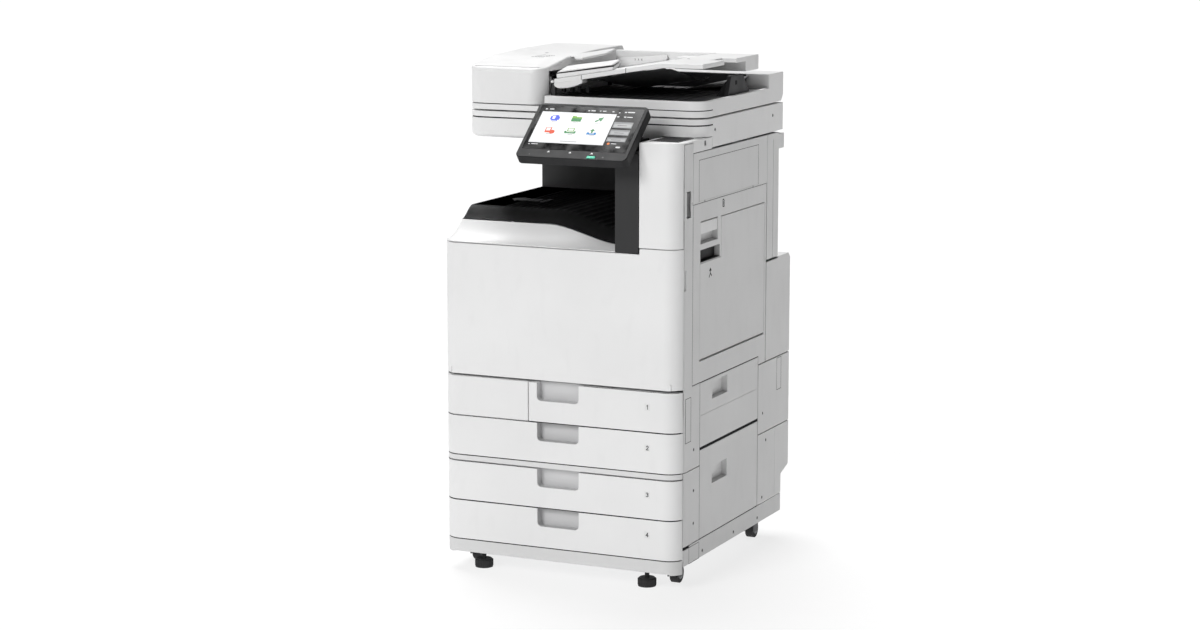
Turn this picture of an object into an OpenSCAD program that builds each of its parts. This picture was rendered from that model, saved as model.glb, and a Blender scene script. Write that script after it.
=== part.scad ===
// Floor-standing office photocopier with an in-body output tray, a document
// feeder and four paper drawers. Lengths are in millimetres, +Z is up, +X is
// to the right of a person at the front, and the front faces -Y. The origin is
// on the floor, at the middle of the outer box.

/* [Overall] */
// Width across the side covers
body_w = 565; // [560:1:575]
// Depth from the control panel's front edge to the back of the rear box
body_d = 722; // [715:1:730]
// How far the control panel stands in front of the front door
panel_reach = 70; // [66:1:76]
// Radius of the two rounded front corners
front_radius = 38; // [36:1:42]
// Wall thickness of the plastic covers
wall = 3; // [2.5:0.5:3.5]
// Gap between neighbouring covers
gap = 1.5; // [1:0.1:2]

/* [Drawers] */
// Height of the first drawer front's lower edge
drawer_z0 = 69; // [67:1:71]
// Height from one drawer to the next
drawer_pitch = 88.5; // [87:0.5:90]
// Height of the strip between the feeding unit and the main unit
strip_h = 12; // [10:1:14]
// Depth of a paper cassette
cassette_d = 400; // [380:5:410]
// Height of a paper cassette's walls
cassette_h = 62; // [50:1:70]
// Width of the finger pocket in a drawer front
grip_w = 98; // [80:1:110]
// Height of the finger pocket in a drawer front
grip_h = 40; // [34:1:44]
// Depth of the finger pocket in a drawer front
grip_d = 20; // [14:1:21]

/* [Output tray] */
// Height of the front door's upper edge
door_top_z = 728; // [726:1:730]
// Height of the tray's surface at its left end
tray_high_z = 797; // [790:1:800]
// Height of the tray's surface at its right end
tray_low_z = 757; // [752:1:765]
// Distance of the tray's front lip behind the door
lip_y = 69; // [64:1:74]
// Distance from the door to the cavity's back wall
cavity_d = 466; // [450:1:480]

/* [Scanner and feeder] */
// Height of the scanner's top face
scanner_top_z = 1003; // [1000:1:1006]
// Distance of the scanner's front behind the door
scanner_y = 124; // [120:1:128]
// Height of the feeder base's top face
deck_z = 1041; // [1038:1:1044]
// Highest point of the feeder cover
feeder_top_z = 1124; // [1118:1:1128]

/* [Control panel] */
// Width of the control panel
panel_w = 256; // [250:1:262]
// Length of the control panel along its face
panel_l = 163; // [155:1:168]
// Thickness of the control panel
panel_t = 22; // [18:1:24]
// Angle of the panel's face above the horizontal
panel_tilt = 38.8; // [34:0.2:42]

/* [Hidden] */
$fn = 64;

half_w = body_w / 2;
door_y = panel_reach - body_d / 2;
rear_y = body_d - panel_reach;

// Fit between a pin and its bore, and a small step that keeps cuts clean
fit = 0.05;
eps = 1;

// Heights that follow from the drawers
unit_seam_z = drawer_z0 + 2 * drawer_pitch + strip_h;
drawer_row_z = [unit_seam_z + drawer_pitch + gap / 2, unit_seam_z + gap / 2,
  drawer_z0 + drawer_pitch, drawer_z0];
door_z0 = unit_seam_z + 2 * drawer_pitch + 4;

// The front covers end this far behind the door, where the side covers begin
front_seam_y = 26;
side_start_y = front_seam_y + gap;

// Paper cassettes: full width, and the short one of the first row
cassette_x0 = -240;
cassette_short_x0 = -64;
cassette_x1 = 214;
blank_x1 = -73;
grip_x0 = -51;

// Post and pillar that carry the scanner's right front corner
post_x0 = 133;
post_x1 = 187;
pillar_z0 = 741;
pillar_z1 = 964;
cavity_x0 = -262;

// Steel frame
frame_x0 = -264;
frame_x1 = 227;
sheet = 2;
frame_rear_y = 562;
engine_floor_z = 445;
tray_support_z = 714;

// Side openings on the right
path_door_y0 = 114.5;
path_door_y1 = 454;
right_door_y1 = 497;
right_door_z1 = 828;
lower_door_z0 = 297.5;
unit_door_z1 = 291.5;
door_depth = 20;
tail_depth = 14;
hinge_x = 277;

// Axes, in X and Z, of the small parts that turn about Y
switch_axis = [275, 832];
lever_axis = [278.5, 782];
bypass_axis = [278.5, 494.5];

// Scanner and feeder
lid_z0 = 1006.5;
lid_seam_z = 1018.5;
lid_axis = [0, 585, 1012];
feeder_x1 = -93;
scanner_rear_y = 595;
tray_pivot = [-86, 0, 1070];
cover_hinge_x = -280;
cover_hinge_z = 1023;
cover_lug_y = [236, 440];

// Control panel
panel_x0 = -68;
key_x = 97.5;
panel_axis = [0, 33, 968];

// Casters
caster_x = 239.5;
caster_front_y = 80;
caster_rear_y = 522;
caster_r = 20;
caster_trail = 12;

// Screws on the right side: distance behind the door, height
unit_screws = [[81, 210], [81, 138], [487, 108], [508, 238]];
skirt_screws = [[133, 66], [314, 66], [459, 66]];
main_screws = [[81, 300], [486, 304]];
scanner_screws = [[190, 978], [532, 978]];

// ---------- shared shapes ----------

// Moves a shape from "behind the door" lengths into the part's own frame
module machine() { translate([0, door_y, 0]) children(); }

// Box between two corners
module span(a, b) { translate(a) cube(b - a); }

// Outline extruded along X from x0 to x1; the outline is drawn in Y and Z
module along_x(x0, x1) {
  translate([x0, 0, 0]) rotate([90, 0, 90]) linear_extrude(x1 - x0) children();
}

// Outline extruded along Y from y0 to y1; the outline is drawn in X and Z
module along_y(y0, y1) {
  translate([0, y1, 0]) rotate([90, 0, 0]) linear_extrude(y1 - y0) children();
}

// Rod along X, Y or Z
module rod_x(y, z, r, x0, x1) { translate([x0, y, z]) rotate([0, 90, 0]) cylinder(x1 - x0, r = r); }
module rod_y(x, z, r, y0, y1) { translate([x, y1, z]) rotate([90, 0, 0]) cylinder(y1 - y0, r = r); }
module rod_z(x, y, r, z0, z1) { translate([x, y, z0]) cylinder(z1 - z0, r = r); }

// Points of an arc, for outlines
function arc(c, r, a0, a1, n = 8) =
  [for (i = [0:n]) c + r * [cos(a0 + (a1 - a0) * i / n), sin(a0 + (a1 - a0) * i / n)]];

// Seen from above: square at the back, rounded at both front corners
module plan(x0, x1, front_y, back_y, r) {
  translate([x0, front_y + r]) square([x1 - x0, back_y - front_y - r]);
  translate([x0 + r, front_y]) square([x1 - x0 - 2 * r, r + eps]);
  for (x = [x0 + r, x1 - r]) translate([x, front_y + r]) circle(r);
}

// The machine's own plan, pulled in by inset
module body_plan(inset, back_y) {
  plan(-half_w + inset, half_w - inset, inset, back_y, front_radius - inset);
}

// A wrapped front panel: a thin shell that is open at the back
module fascia(x0, x1, z0, z1) {
  difference() {
    intersection() {
      translate([0, 0, z0]) linear_extrude(z1 - z0) body_plan(0, 90);
      span([x0, -eps, z0 - eps], [x1, front_seam_y, z1 + eps]);
    }
    intersection() {
      translate([0, 0, z0 + wall]) linear_extrude(z1 - z0 - 2 * wall) body_plan(wall, 90);
      span([x0 + wall, -eps, z0], [x1 - wall, front_seam_y + eps, z1]);
    }
  }
}

// A side panel of the right side, cut to the body's plan
module right_panel(depth) {
  intersection() {
    linear_extrude(1000) body_plan(0, rear_y);
    along_x(half_w - depth, half_w) children();
  }
}

// Shallow seats for the screw heads on the right side
module screw_seats(places) {
  for (p = places) rod_x(p[0], p[1], 3.6, half_w - 2.2, half_w + eps);
}

// Closed sheet from a grid of surface points; each column has its own offset
module sheet_from(grid, offsets) {
  m = len(grid);
  n = len(grid[0]);
  top = [for (row = grid) for (p = row) p];
  bottom = [for (i = [0:m - 1]) for (p = grid[i]) p + offsets[i]];
  k = m * n;
  faces = concat(
    [for (i = [0:m - 2]) for (j = [0:n - 2]) [i * n + j, i * n + j + 1, (i + 1) * n + j + 1]],
    [for (i = [0:m - 2]) for (j = [0:n - 2]) [i * n + j, (i + 1) * n + j + 1, (i + 1) * n + j]],
    [for (i = [0:m - 2]) for (j = [0:n - 2]) [k + i * n + j, k + (i + 1) * n + j + 1, k + i * n + j + 1]],
    [for (i = [0:m - 2]) for (j = [0:n - 2]) [k + i * n + j, k + (i + 1) * n + j, k + (i + 1) * n + j + 1]],
    [for (i = [0:m - 2]) [i * n, (i + 1) * n, k + (i + 1) * n]],
    [for (i = [0:m - 2]) [i * n, k + (i + 1) * n, k + i * n]],
    [for (i = [0:m - 2]) [i * n + n - 1, k + (i + 1) * n + n - 1, (i + 1) * n + n - 1]],
    [for (i = [0:m - 2]) [i * n + n - 1, k + i * n + n - 1, k + (i + 1) * n + n - 1]],
    [for (j = [0:n - 2]) [j, k + j + 1, j + 1]],
    [for (j = [0:n - 2]) [j, k + j, k + j + 1]],
    [for (j = [0:n - 2]) [(m - 1) * n + j, (m - 1) * n + j + 1, k + (m - 1) * n + j + 1]],
    [for (j = [0:n - 2]) [(m - 1) * n + j, k + (m - 1) * n + j + 1, k + (m - 1) * n + j]]);
  polyhedron(concat(top, bottom), faces, convexity = 6);
}

// Eased step from 0 to 1 between a and b
function ease(v, a, b) = let (t = min(1, max(0, (v - a) / (b - a)))) t * t * (3 - 2 * t);

// Height of the tray's surface across the machine, and of its front lip
function tray_z(x) = tray_high_z - (tray_high_z - tray_low_z) * ease(x, -55, 125);
function lip_z(x) = 771 - 36 * ease(x, -55, 125);

// Vertical hinge: a lug from the steel frame, and the notch and pin in the door
module hinge_lug(y, z) {
  span([frame_x1 - 1, y - 2.2, z + 1], [hinge_x, y + 2.2, z + 5]);
  rod_z(hinge_x, y, 2.2, z + 1, z + 5);
}
module hinge_bore(y, z) { rod_z(hinge_x, y, 1.2 + fit, z, z + 6); }
module hinge_notch(y, z) { span([half_w - 60, y - 9, z], [half_w - wall, y + 30, z + 6]); }
module hinge_pin(y, z) { rod_z(hinge_x, y, 1.2, z - eps, z + 6 + eps); }

// ---------- steel structure ----------

module main_frame() machine() color("silver") difference() {
  union() {
    span([frame_x0, 45, unit_seam_z + 1], [frame_x1, frame_rear_y, unit_seam_z + 1 + sheet]);
    span([frame_x0, 45, unit_seam_z + 1], [frame_x0 + sheet, frame_rear_y, tray_support_z]);
    span([frame_x1 - sheet, 45, unit_seam_z + 1], [frame_x1, frame_rear_y, tray_support_z]);
    span([frame_x0, frame_rear_y - sheet, unit_seam_z + 1], [frame_x1, frame_rear_y, tray_support_z]);
    span([-257, frame_rear_y - sheet, tray_support_z - 1], [frame_x1, frame_rear_y, 932]);
    span([frame_x0, 45, engine_floor_z], [frame_x1, frame_rear_y, engine_floor_z + sheet]);
    span([frame_x0, 76, tray_support_z - sheet], [frame_x1, frame_rear_y, tray_support_z]);
    // Wall beside the short first cassette
    span([blank_x1, 45, unit_seam_z + drawer_pitch], [blank_x1 + sheet, 450, engine_floor_z + 1]);
    // Box posts that carry the scanner
    span([200, 80, tray_support_z - 1], [225, 105, 932]);
    span([202, 488, tray_support_z - 1], [frame_x1, 513, 932]);
    span([-255, 500, tray_support_z - 1], [-230, 525, 932]);
    // Engine end plates that hold the rollers' shafts
    for (y = [78, 446]) span([-100, y, engine_floor_z + 1], [260, y + sheet, tray_support_z - 1]);
    // Lugs for the front door's hinge
    for (s = [-1, 1]) {
      span([s * 254 - 4, 7, door_z0 + 2.6], [s * 254 + 4, 46, door_z0 + 9.4]);
      rod_x(7, door_z0 + 6, 3.4, s * 254 - 4, s * 254 + 4);
    }
    span([frame_x1 - 1, 45, engine_floor_z - 1], [258, 52, engine_floor_z + 2]);
    hinge_lug(right_door_y1 - 4.5, 452);
    hinge_lug(right_door_y1 - 4.5, 800);
    hinge_lug(path_door_y1 - 4.5, 306);
    hinge_lug(path_door_y1 - 4.5, 424);
  }
  // Window of the paper path at the engine, and feed windows at the cassettes
  span([frame_x1 - sheet - eps, 90, 470], [frame_x1 + eps, 440, 690]);
  for (i = [0, 1]) {
    span([frame_x1 - sheet - eps, 130, drawer_row_z[i] + 66], [frame_x1 + eps, 430, drawer_row_z[i] + 82]);
  }
  // Doorway that lets the cable harness through the back wall
  span([-60, 550, 480], [60, 570, 560]);
  for (s = [-1, 1]) rod_x(7, door_z0 + 6, 2 + fit, s * 254 - 10, s * 254 + 10);
  hinge_bore(right_door_y1 - 4.5, 452);
  hinge_bore(right_door_y1 - 4.5, 800);
  hinge_bore(path_door_y1 - 4.5, 306);
  hinge_bore(path_door_y1 - 4.5, 424);
  rod_y(190, 560, 5 + fit, 60, 460);
  rod_y(205, 650, 6 + fit, 60, 460);
  rod_y(242, 650, 6 + fit, 60, 460);
}

module lower_frame() machine() color("silver") difference() {
  union() {
    span([frame_x0, 34, 60], [frame_x1, 598, 60 + sheet]);
    span([frame_x0, 34, 60], [frame_x0 + sheet, 598, unit_seam_z - 1]);
    span([frame_x1 - sheet, 34, 60], [frame_x1, 598, unit_seam_z - 1]);
    span([frame_x0, 598 - sheet, 60], [frame_x1, 598, unit_seam_z - 1]);
    span([frame_x0, 34, unit_seam_z - 1 - sheet], [frame_x0 + 24, 598, unit_seam_z - 1]);
    span([frame_x1 - 14, 34, unit_seam_z - 1 - sheet], [frame_x1, 598, unit_seam_z - 1]);
    // Outrigger plate that reaches over the right casters
    span([frame_x1 - 1, 34, 60], [272, 598, 60 + sheet]);
    // Caster seats
    for (x = [-caster_x, caster_x]) for (y = [caster_front_y, caster_rear_y]) {
      span([x - 24, y - 24, 54], [x + 24, y + 24, 60.5]);
    }
    hinge_lug(path_door_y1 - 4.5, 104);
    hinge_lug(path_door_y1 - 4.5, 240);
  }
  for (i = [2, 3]) {
    span([frame_x1 - sheet - eps, 130, drawer_row_z[i] + 66], [frame_x1 + eps, 430, drawer_row_z[i] + 82]);
  }
  for (x = [-caster_x, caster_x]) rod_z(x, caster_front_y, 6 + fit, 50, 70);
  for (x = [-202, 192]) rod_z(x, 40, 5 + fit, 50, 70);
  hinge_bore(path_door_y1 - 4.5, 104);
  hinge_bore(path_door_y1 - 4.5, 240);
}

// ---------- covers ----------

// Front bumper and the two side skirts, one moulding
module base_trim() machine() color("whitesmoke") difference() {
  union() {
    difference() {
      translate([0, 0, 37]) linear_extrude(drawer_z0 - gap - 37) body_plan(0, 60);
      span([-half_w - eps, 27, 0], [half_w + eps, 99, 99]);
    }
    for (s = [-1, 1]) {
      span([s < 0 ? -half_w : half_w - wall, 60, 53], [s < 0 ? -half_w + wall : half_w, 604, 94]);
      intersection() {
        translate([0, 0, 53]) linear_extrude(41) body_plan(0, 70);
        span([s < 0 ? -half_w : half_w - wall, 26, 53],
          [s < 0 ? -half_w + wall : half_w, 61, s < 0 ? 94 : drawer_z0 + 20]);
      }
    }
  }
  difference() {
    translate([0, 0, 37 + wall]) linear_extrude(drawer_z0 - gap - 37 - 2 * wall) body_plan(wall, 60);
    span([-half_w, 40, 0], [half_w, 99, 99]);
  }
  screw_seats(skirt_screws);
}

// Left side of the main unit
module left_cover() machine() color("whitesmoke") mirror([1, 0, 0]) right_panel(wall)
  polygon([[side_start_y, unit_seam_z + gap / 2], [456, unit_seam_z + gap / 2], [456, 420],
    [500, 420], [500, door_top_z], [side_start_y, door_top_z]]);

// Left side of the feeding unit, with the narrow strip that crosses its front
module lower_left_cover() machine() color("whitesmoke") {
  mirror([1, 0, 0]) right_panel(wall)
    polygon([[side_start_y, 95.5], [456, 95.5], [456, unit_seam_z - gap / 2],
      [side_start_y, unit_seam_z - gap / 2]]);
  fascia(-half_w, half_w, unit_seam_z - strip_h, unit_seam_z - gap / 2);
  mirror([1, 0, 0]) right_panel(wall)
    translate([front_seam_y - eps, unit_seam_z - strip_h]) square([eps + gap + 1, strip_h - gap / 2]);
}

// Upper back of the main unit, which wraps round to both sides
module rear_cover() machine() color("whitesmoke") difference() {
  union() {
    span([-half_w, 569, 654], [half_w, 572, door_top_z]);
    span([cavity_x0, 569, door_top_z - eps], [half_w, 572, 937]);
    span([half_w - wall, 501.5, 654], [half_w, 572, 937]);
    span([-half_w, 501.5, 654], [-half_w + wall, 572, door_top_z]);
    span([cavity_x0, cavity_d + 4, tray_high_z + 4], [cavity_x0 + wall, 570, 937]);
    span([258, 571, 899], [half_w, 604, 933]);
  }
  // Dividing groove on the right and the ventilation slots of the back
  span([half_w - 1.2, 536, 600], [half_w + eps, 539, 923]);
  for (i = [0:9]) span([-200, 560, 760 + 14 * i], [-60, 580, 765 + 14 * i]);
}

// Box at the back that holds the circuit boards, in two shells
module rear_box() machine() color("whitesmoke") difference() {
  union() {
    difference() {
      along_x(-half_w, half_w) polygon([[501.5, 421.5], [rear_y, 421.5], [rear_y, 642],
        [rear_y - 10, 652.5], [501.5, 652.5]]);
      span([-half_w + wall, 500, 421], [half_w - wall, rear_y - wall, 652.5 - wall]);
      span([-half_w - eps, 500, 649], [half_w + eps, 573, 660]);
      span([-half_w + wall, 500, 600], [half_w - wall, 573, 660]);
    }
    difference() {
      span([-half_w, 457.5, unit_seam_z + gap / 2], [half_w, rear_y, 419.5]);
      span([-half_w + wall, 400, 250], [half_w - wall, rear_y - wall, 430]);
    }
  }
  // Seat of the power inlet, and the small slot cover's outline on the right
  span([-218, 640, 288], [-182, 660, 316]);
  for (y = [572, 599]) span([half_w - 0.8, y, 342], [half_w + eps, y + 1, 417]);
  span([half_w - 0.8, 572, 342], [half_w + eps, 600, 343]);
  for (i = [0:11]) span([40, 645, 470 + 12 * i], [200, 660, 475 + 12 * i]);
  screw_seats([main_screws[1]]);
}

// Back of the feeding unit, stepping in towards the floor
module lower_rear_cover() machine() color("whitesmoke") difference() {
  along_x(-half_w, half_w) polygon([[457.5, 95.5], [605, 95.5], [605, 139], [rear_y, 154],
    [rear_y, unit_seam_z - gap / 2], [457.5, unit_seam_z - gap / 2]]);
  along_x(-half_w + wall, half_w - wall) polygon([[440, 90], [602, 90], [602, 141],
    [rear_y - wall, 156], [rear_y - wall, 270], [440, 270]]);
  span([half_w - 0.8, 564, 90], [half_w + eps, 565.2, 270]);
  screw_seats([unit_screws[2], unit_screws[3]]);
}

// Path of the shoulder: outer edge, inner edge and inner height at station s
shoulder_n = 34;
shoulder_x = cavity_x0 - 2.9;
shoulder_y = lip_y - 2;
shoulder_r = 2.5;
shoulder_base_z = door_top_z + 2.6;
function shoulder_outer(s) =
  s <= 20 ? [post_x0 - 1 - (post_x0 - 1 + half_w - front_radius) * s / 20, 0]
  : s <= 27 ? [-half_w + front_radius, front_radius]
    + front_radius * [cos(270 - 90 * (s - 20) / 7), sin(270 - 90 * (s - 20) / 7)]
  : [-half_w, front_radius + (568 - front_radius) * (s - 27) / 7];
function shoulder_inner(s) =
  s <= 20 ? [post_x0 - 1 - (post_x0 - 1 + half_w - front_radius) * s / 20, shoulder_y]
  : s <= 27 ? [shoulder_x + shoulder_r, shoulder_y + shoulder_r]
    + shoulder_r * [cos(270 - 90 * (s - 20) / 7), sin(270 - 90 * (s - 20) / 7)]
  : [shoulder_x, shoulder_y + shoulder_r + (568 - shoulder_y - shoulder_r) * (s - 27) / 7];
function shoulder_z(s) =
  s <= 20 ? lip_z(shoulder_inner(s)[0]) - 1
  : 770 + 24 * ease(shoulder_inner(s)[1], lip_y, 114);

// Concave white band between the front door and the output tray
module shoulder_cover() machine() color("whitesmoke") {
  sheet_from(
    [for (s = [0:shoulder_n]) [for (t = [0:0.125:1]) concat(
      shoulder_outer(s) + (shoulder_inner(s) - shoulder_outer(s)) * t,
      shoulder_base_z + (shoulder_z(s) - shoulder_base_z) * pow(t, 1.9))]],
    [for (s = [0:shoulder_n]) s <= 20 ? [0, 1.5, -2] : s <= 27 ? [1.2, 1.2, -2] : [2.4, 0, -2]]);
}

// White pillar at the right front corner, with the deck beside the scanner
module pillar_cover() machine() color("whitesmoke") difference() {
  union() {
    fascia(post_x1 + gap, half_w, pillar_z0, pillar_z1);
    intersection() {
      translate([0, 0, pillar_z1 - wall]) linear_extrude(wall) body_plan(0, 200);
      span([post_x1 + gap, front_seam_y - eps, 900], [half_w, scanner_y - 1, 1000]);
    }
    intersection() {
      translate([0, 0, pillar_z1 - wall]) linear_extrude(wall) body_plan(0, 200);
      span([half_w - 30, scanner_y - 2, 900], [half_w, 174, 1000]);
    }
    span([half_w - wall, 70.5, 938.5], [half_w, 174, pillar_z1]);
  }
  // Small square service hole in the side
  span([half_w - wall - eps, 131, 949], [half_w + eps, 141, 959]);
}

// Dark lining of the output cavity: post, right wall and back wall
module cavity_cover() machine() color("#333436") difference() {
  union() {
    span([post_x0, 0, door_top_z + 0.8], [post_x1, 3, 940]);
    span([post_x1 - wall, 1, door_top_z + 12], [post_x1, front_seam_y, 940]);
    span([post_x0, 1, door_top_z + 0.8], [post_x0 + wall, cavity_d + wall, 940]);
    span([cavity_x0, cavity_d, tray_high_z - 12], [post_x0 + wall, cavity_d + wall, 940]);
    // Dark ceiling strip at the top of the post, under the control panel
    span([post_x0, 1, 937], [post_x1, scanner_y - 2, 940]);
    // Ramp of the delivery slot
    span([post_x0 - 14, 110, 900], [post_x0 + 1, 420, 906]);
  }
  // Delivery slot of the finished sheets
  span([post_x0 - eps, 112, 878], [post_x0 + wall + eps, 418, 898]);
  // Grille of the cooling fan in the back wall
  for (i = [0:6]) span([48 + 10 * i, cavity_d - eps, 850], [53 + 10 * i, cavity_d + wall + eps, 915]);
}

// Rows of the output tray from its front lip to the back
tray_rows = [lip_y, lip_y + 8, lip_y + 18, lip_y + 30, lip_y + 45, lip_y + 60, cavity_d - 0.5];
function tray_point(x, y) = [x, y, lip_z(x) + (tray_z(x) - lip_z(x)) * ease(y, lip_y - 12, lip_y + 45)
  - (tray_z(x) - lip_z(x)) * 0.115];

// Black output tray, high on the left and low on the right
module output_tray() machine() color("#1d1d1f") {
  sheet_from([for (i = [0:30]) let (x = cavity_x0 + (post_x0 - 0.5 - cavity_x0) * i / 30)
    [for (y = tray_rows) tray_point(x, y)]], [for (i = [0:30]) [0, 0, -3]]);
}

// Side cover above the right door, with a shallow framed field
module upper_right_cover() machine() color("whitesmoke") difference() {
  right_panel(wall) translate([71.5, right_door_z1 + 0.8]) square([428.5, 937 - right_door_z1 - 0.8]);
  difference() {
    span([half_w - 0.7, 102, 832], [half_w + eps, 446, 921]);
    span([half_w - eps, 103, 833], [half_w + 2, 445, 920]);
  }
}

// Narrow covers behind the front panels on the right: main unit and feeding unit
module front_column() machine() color("whitesmoke") difference() {
  union() {
    right_panel(wall) polygon([[side_start_y, unit_seam_z + gap / 2], [113, unit_seam_z + gap / 2],
      [113, 439.5], [70, 439.5], [70, 960], [side_start_y, 960]]);
    right_panel(wall) translate([side_start_y, 95.5])
      square([113 - side_start_y, unit_seam_z - gap / 2 - 95.5]);
    // Cup of the power switch
    span([264, 33, 800], [half_w - 1, 63, 864]);
    // Cup of the finger notch
    span([half_w - 7, side_start_y, 648], [half_w - 1, 39, 697]);
  }
  span([267, 37, 804], [half_w + eps, 59, 860]);
  rod_y(switch_axis[0], switch_axis[1], 1.5 + fit, 34.5, 61.5);
  // Finger notch beside the front door
  span([half_w - 4, 20, 651], [half_w + eps, 36, 694]);
  // Outline of a blanking plate
  difference() {
    span([half_w - 0.8, 34, 321], [half_w + eps, 64, 418]);
    span([half_w - 2, 35, 322], [half_w + 2, 63, 417]);
  }
  screw_seats([main_screws[0], unit_screws[0], unit_screws[1]]);
}

// Fixed panel to the left of the first drawer
module blank_cover() machine() color("whitesmoke")
  fascia(-half_w, blank_x1, drawer_row_z[0], drawer_row_z[0] + drawer_pitch - gap);

// ---------- scanner ----------

module scanner_plan(inset) {
  plan(-half_w + inset, half_w - inset, scanner_y + inset, scanner_rear_y - inset, 40 - inset);
}

module scanner_base() machine() color("whitesmoke") difference() {
  union() {
    difference() {
      translate([0, 0, 941]) linear_extrude(scanner_top_z - 941) scanner_plan(0);
      // The front lip hangs less deep, and least of all over the pillar
      span([-half_w - eps, 100, 930], [half_w + eps, 175, 946]);
      span([post_x1, 100, 930], [half_w + eps, 175, 965]);
      // Hollow of the housing
      difference() {
        translate([0, 0, 969]) linear_extrude(27) scanner_plan(8);
        span([-half_w, 565, 900], [half_w, 600, 1100]);
      }
      // Seats of the two glasses
      span([-222.5, 167.5, 990], [218.5, 482.5, 1010]);
      span([-258.5, 167.5, 990], [-237.5, 482.5, 1010]);
      // Shadow groove round the front
      difference() {
        translate([0, 0, 988]) linear_extrude(3) scanner_plan(-1);
        translate([0, 0, 980]) linear_extrude(20) scanner_plan(1.6);
        span([-half_w - 5, 176, 900], [half_w + 5, 700, 1100]);
      }
      screw_seats(scanner_screws);
    }
    // Ledges under the glasses and rails for the carriage
    for (y = [163, 482.5]) span([-262, y, 994], [262, y + 4.5, 996.5]);
    for (y = [200, 446]) span([-262, y, 968], [262, y + 5, 974]);
    // Hinge lugs of the lid
    for (s = [-1, 1]) {
      span([s * 185 - 12, 578, scanner_top_z - 1], [s * 185 + 12, 592, lid_axis[2]]);
      rod_x(lid_axis[1], lid_axis[2], 7, s * 185 - 12, s * 185 + 12);
    }
  }
  rod_x(lid_axis[1], lid_axis[2], 4 + fit, -220, 220);
}

module platen_glass() machine() color("lightcyan") {
  span([-222, 168, 998.5], [218, 482, 1002.5]);
  span([-258, 168, 998.5], [-238, 482, 1002.5]);
}

module scan_carriage() machine() color("#2b2b2d") {
  span([-206, 172, 975], [-170, 478, 989]);
  for (y = [198.6, 444.6]) span([-210, y, 974.4], [-166, y + 8, 980]);
  // Lamp strip
  span([-196, 180, 988], [-190, 470, 991]);
}

// ---------- document feeder ----------

module feeder_plan(inset) {
  plan(-half_w + inset, feeder_x1 - inset, scanner_y + inset, 560 - inset, 40 - inset);
}

// Base of the lid: slab, drive block under the feeder cover, rear hinge housing
module lid_base() machine() color("whitesmoke") difference() {
  union() {
    difference() {
      translate([0, 0, lid_z0]) linear_extrude(deck_z - lid_z0) scanner_plan(0);
      // Room for the feeder cover on the left
      span([-half_w - eps, 100, lid_seam_z], [feeder_x1 + 2, 562, 1100]);
      // Shallow bed of the delivered originals
      difference() {
        translate([0, 0, deck_z - 3]) linear_extrude(10)
          plan(feeder_x1 + 1, half_w - 10, scanner_y + 12, 505, 30);
        span([255, 333, 1000], [280, 424, 1100]);
      }
      // Shadow groove round the front
      difference() {
        translate([0, 0, 1020]) linear_extrude(2) scanner_plan(-1);
        translate([0, 0, 1010]) linear_extrude(20) scanner_plan(1.4);
        span([-half_w - 5, 176, 900], [half_w + 5, 700, 1100]);
      }
    }
    // Rear housing
    span([feeder_x1 + 2, 506, deck_z - 1], [half_w, scanner_rear_y, 1072]);
    span([-half_w + 10, 563, lid_seam_z - 1], [feeder_x1 + 3, scanner_rear_y, 1060]);
    // Drive block with the two cheeks that hold the feed roller
    span([-262, 176, lid_seam_z - 1], [-100, 540, 1048]);
    for (y = [176, 448]) span([-140, y, 1040], [-101, y + 6, 1078]);
    // Lugs of the document tray
    for (y = [160, 456]) {
      span([-91, y, 1030], [-81.5, y + 6, tray_pivot[2]]);
      rod_y(tray_pivot[0], tray_pivot[2], 6, y, y + 6);
    }
    // Lugs of the feeder cover
    for (y = cover_lug_y) {
      span([cover_hinge_x - 2.4, y, lid_seam_z - 1], [cover_hinge_x + 2.4, y + 10, cover_hinge_z]);
      rod_y(cover_hinge_x, cover_hinge_z, 2.4, y, y + 10);
    }
    // Black stopper at the end of the bed
    along_y(333, 424) polygon([[238, 1036], [250, 1062], [262, 1064], [270, 1036]]);
    for (s = [-1, 1]) rod_x(lid_axis[1], lid_axis[2], 4, s * 185 - 18, s * 185 + 18);
  }
  rod_y(-118, 1062, 4 + fit, 170, 460);
  rod_y(tray_pivot[0], tray_pivot[2], 3 + fit, 150, 470);
  rod_y(cover_hinge_x, cover_hinge_z, 1 + fit, 200, 470);
  // Notches for the scanner's hinge lugs, left open round each pin
  for (s = [-1, 1]) difference() {
    span([s * 185 - 13, 574, lid_z0 - eps], [s * 185 + 13, 600, 1024]);
    rod_x(lid_axis[1], lid_axis[2], 4, s * 185 - 18, s * 185 + 18);
  }
  // Bevel that lets the back edge swing down
  along_x(-half_w - eps, half_w + eps) polygon([[582, 1000], [582, lid_z0], [594, lid_seam_z + 1],
    [600, lid_seam_z + 1], [600, 1000]]);
}

module lid_pad() machine() color("white") span([-220, 166, 1003.2], [216, 484, lid_z0]);

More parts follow.
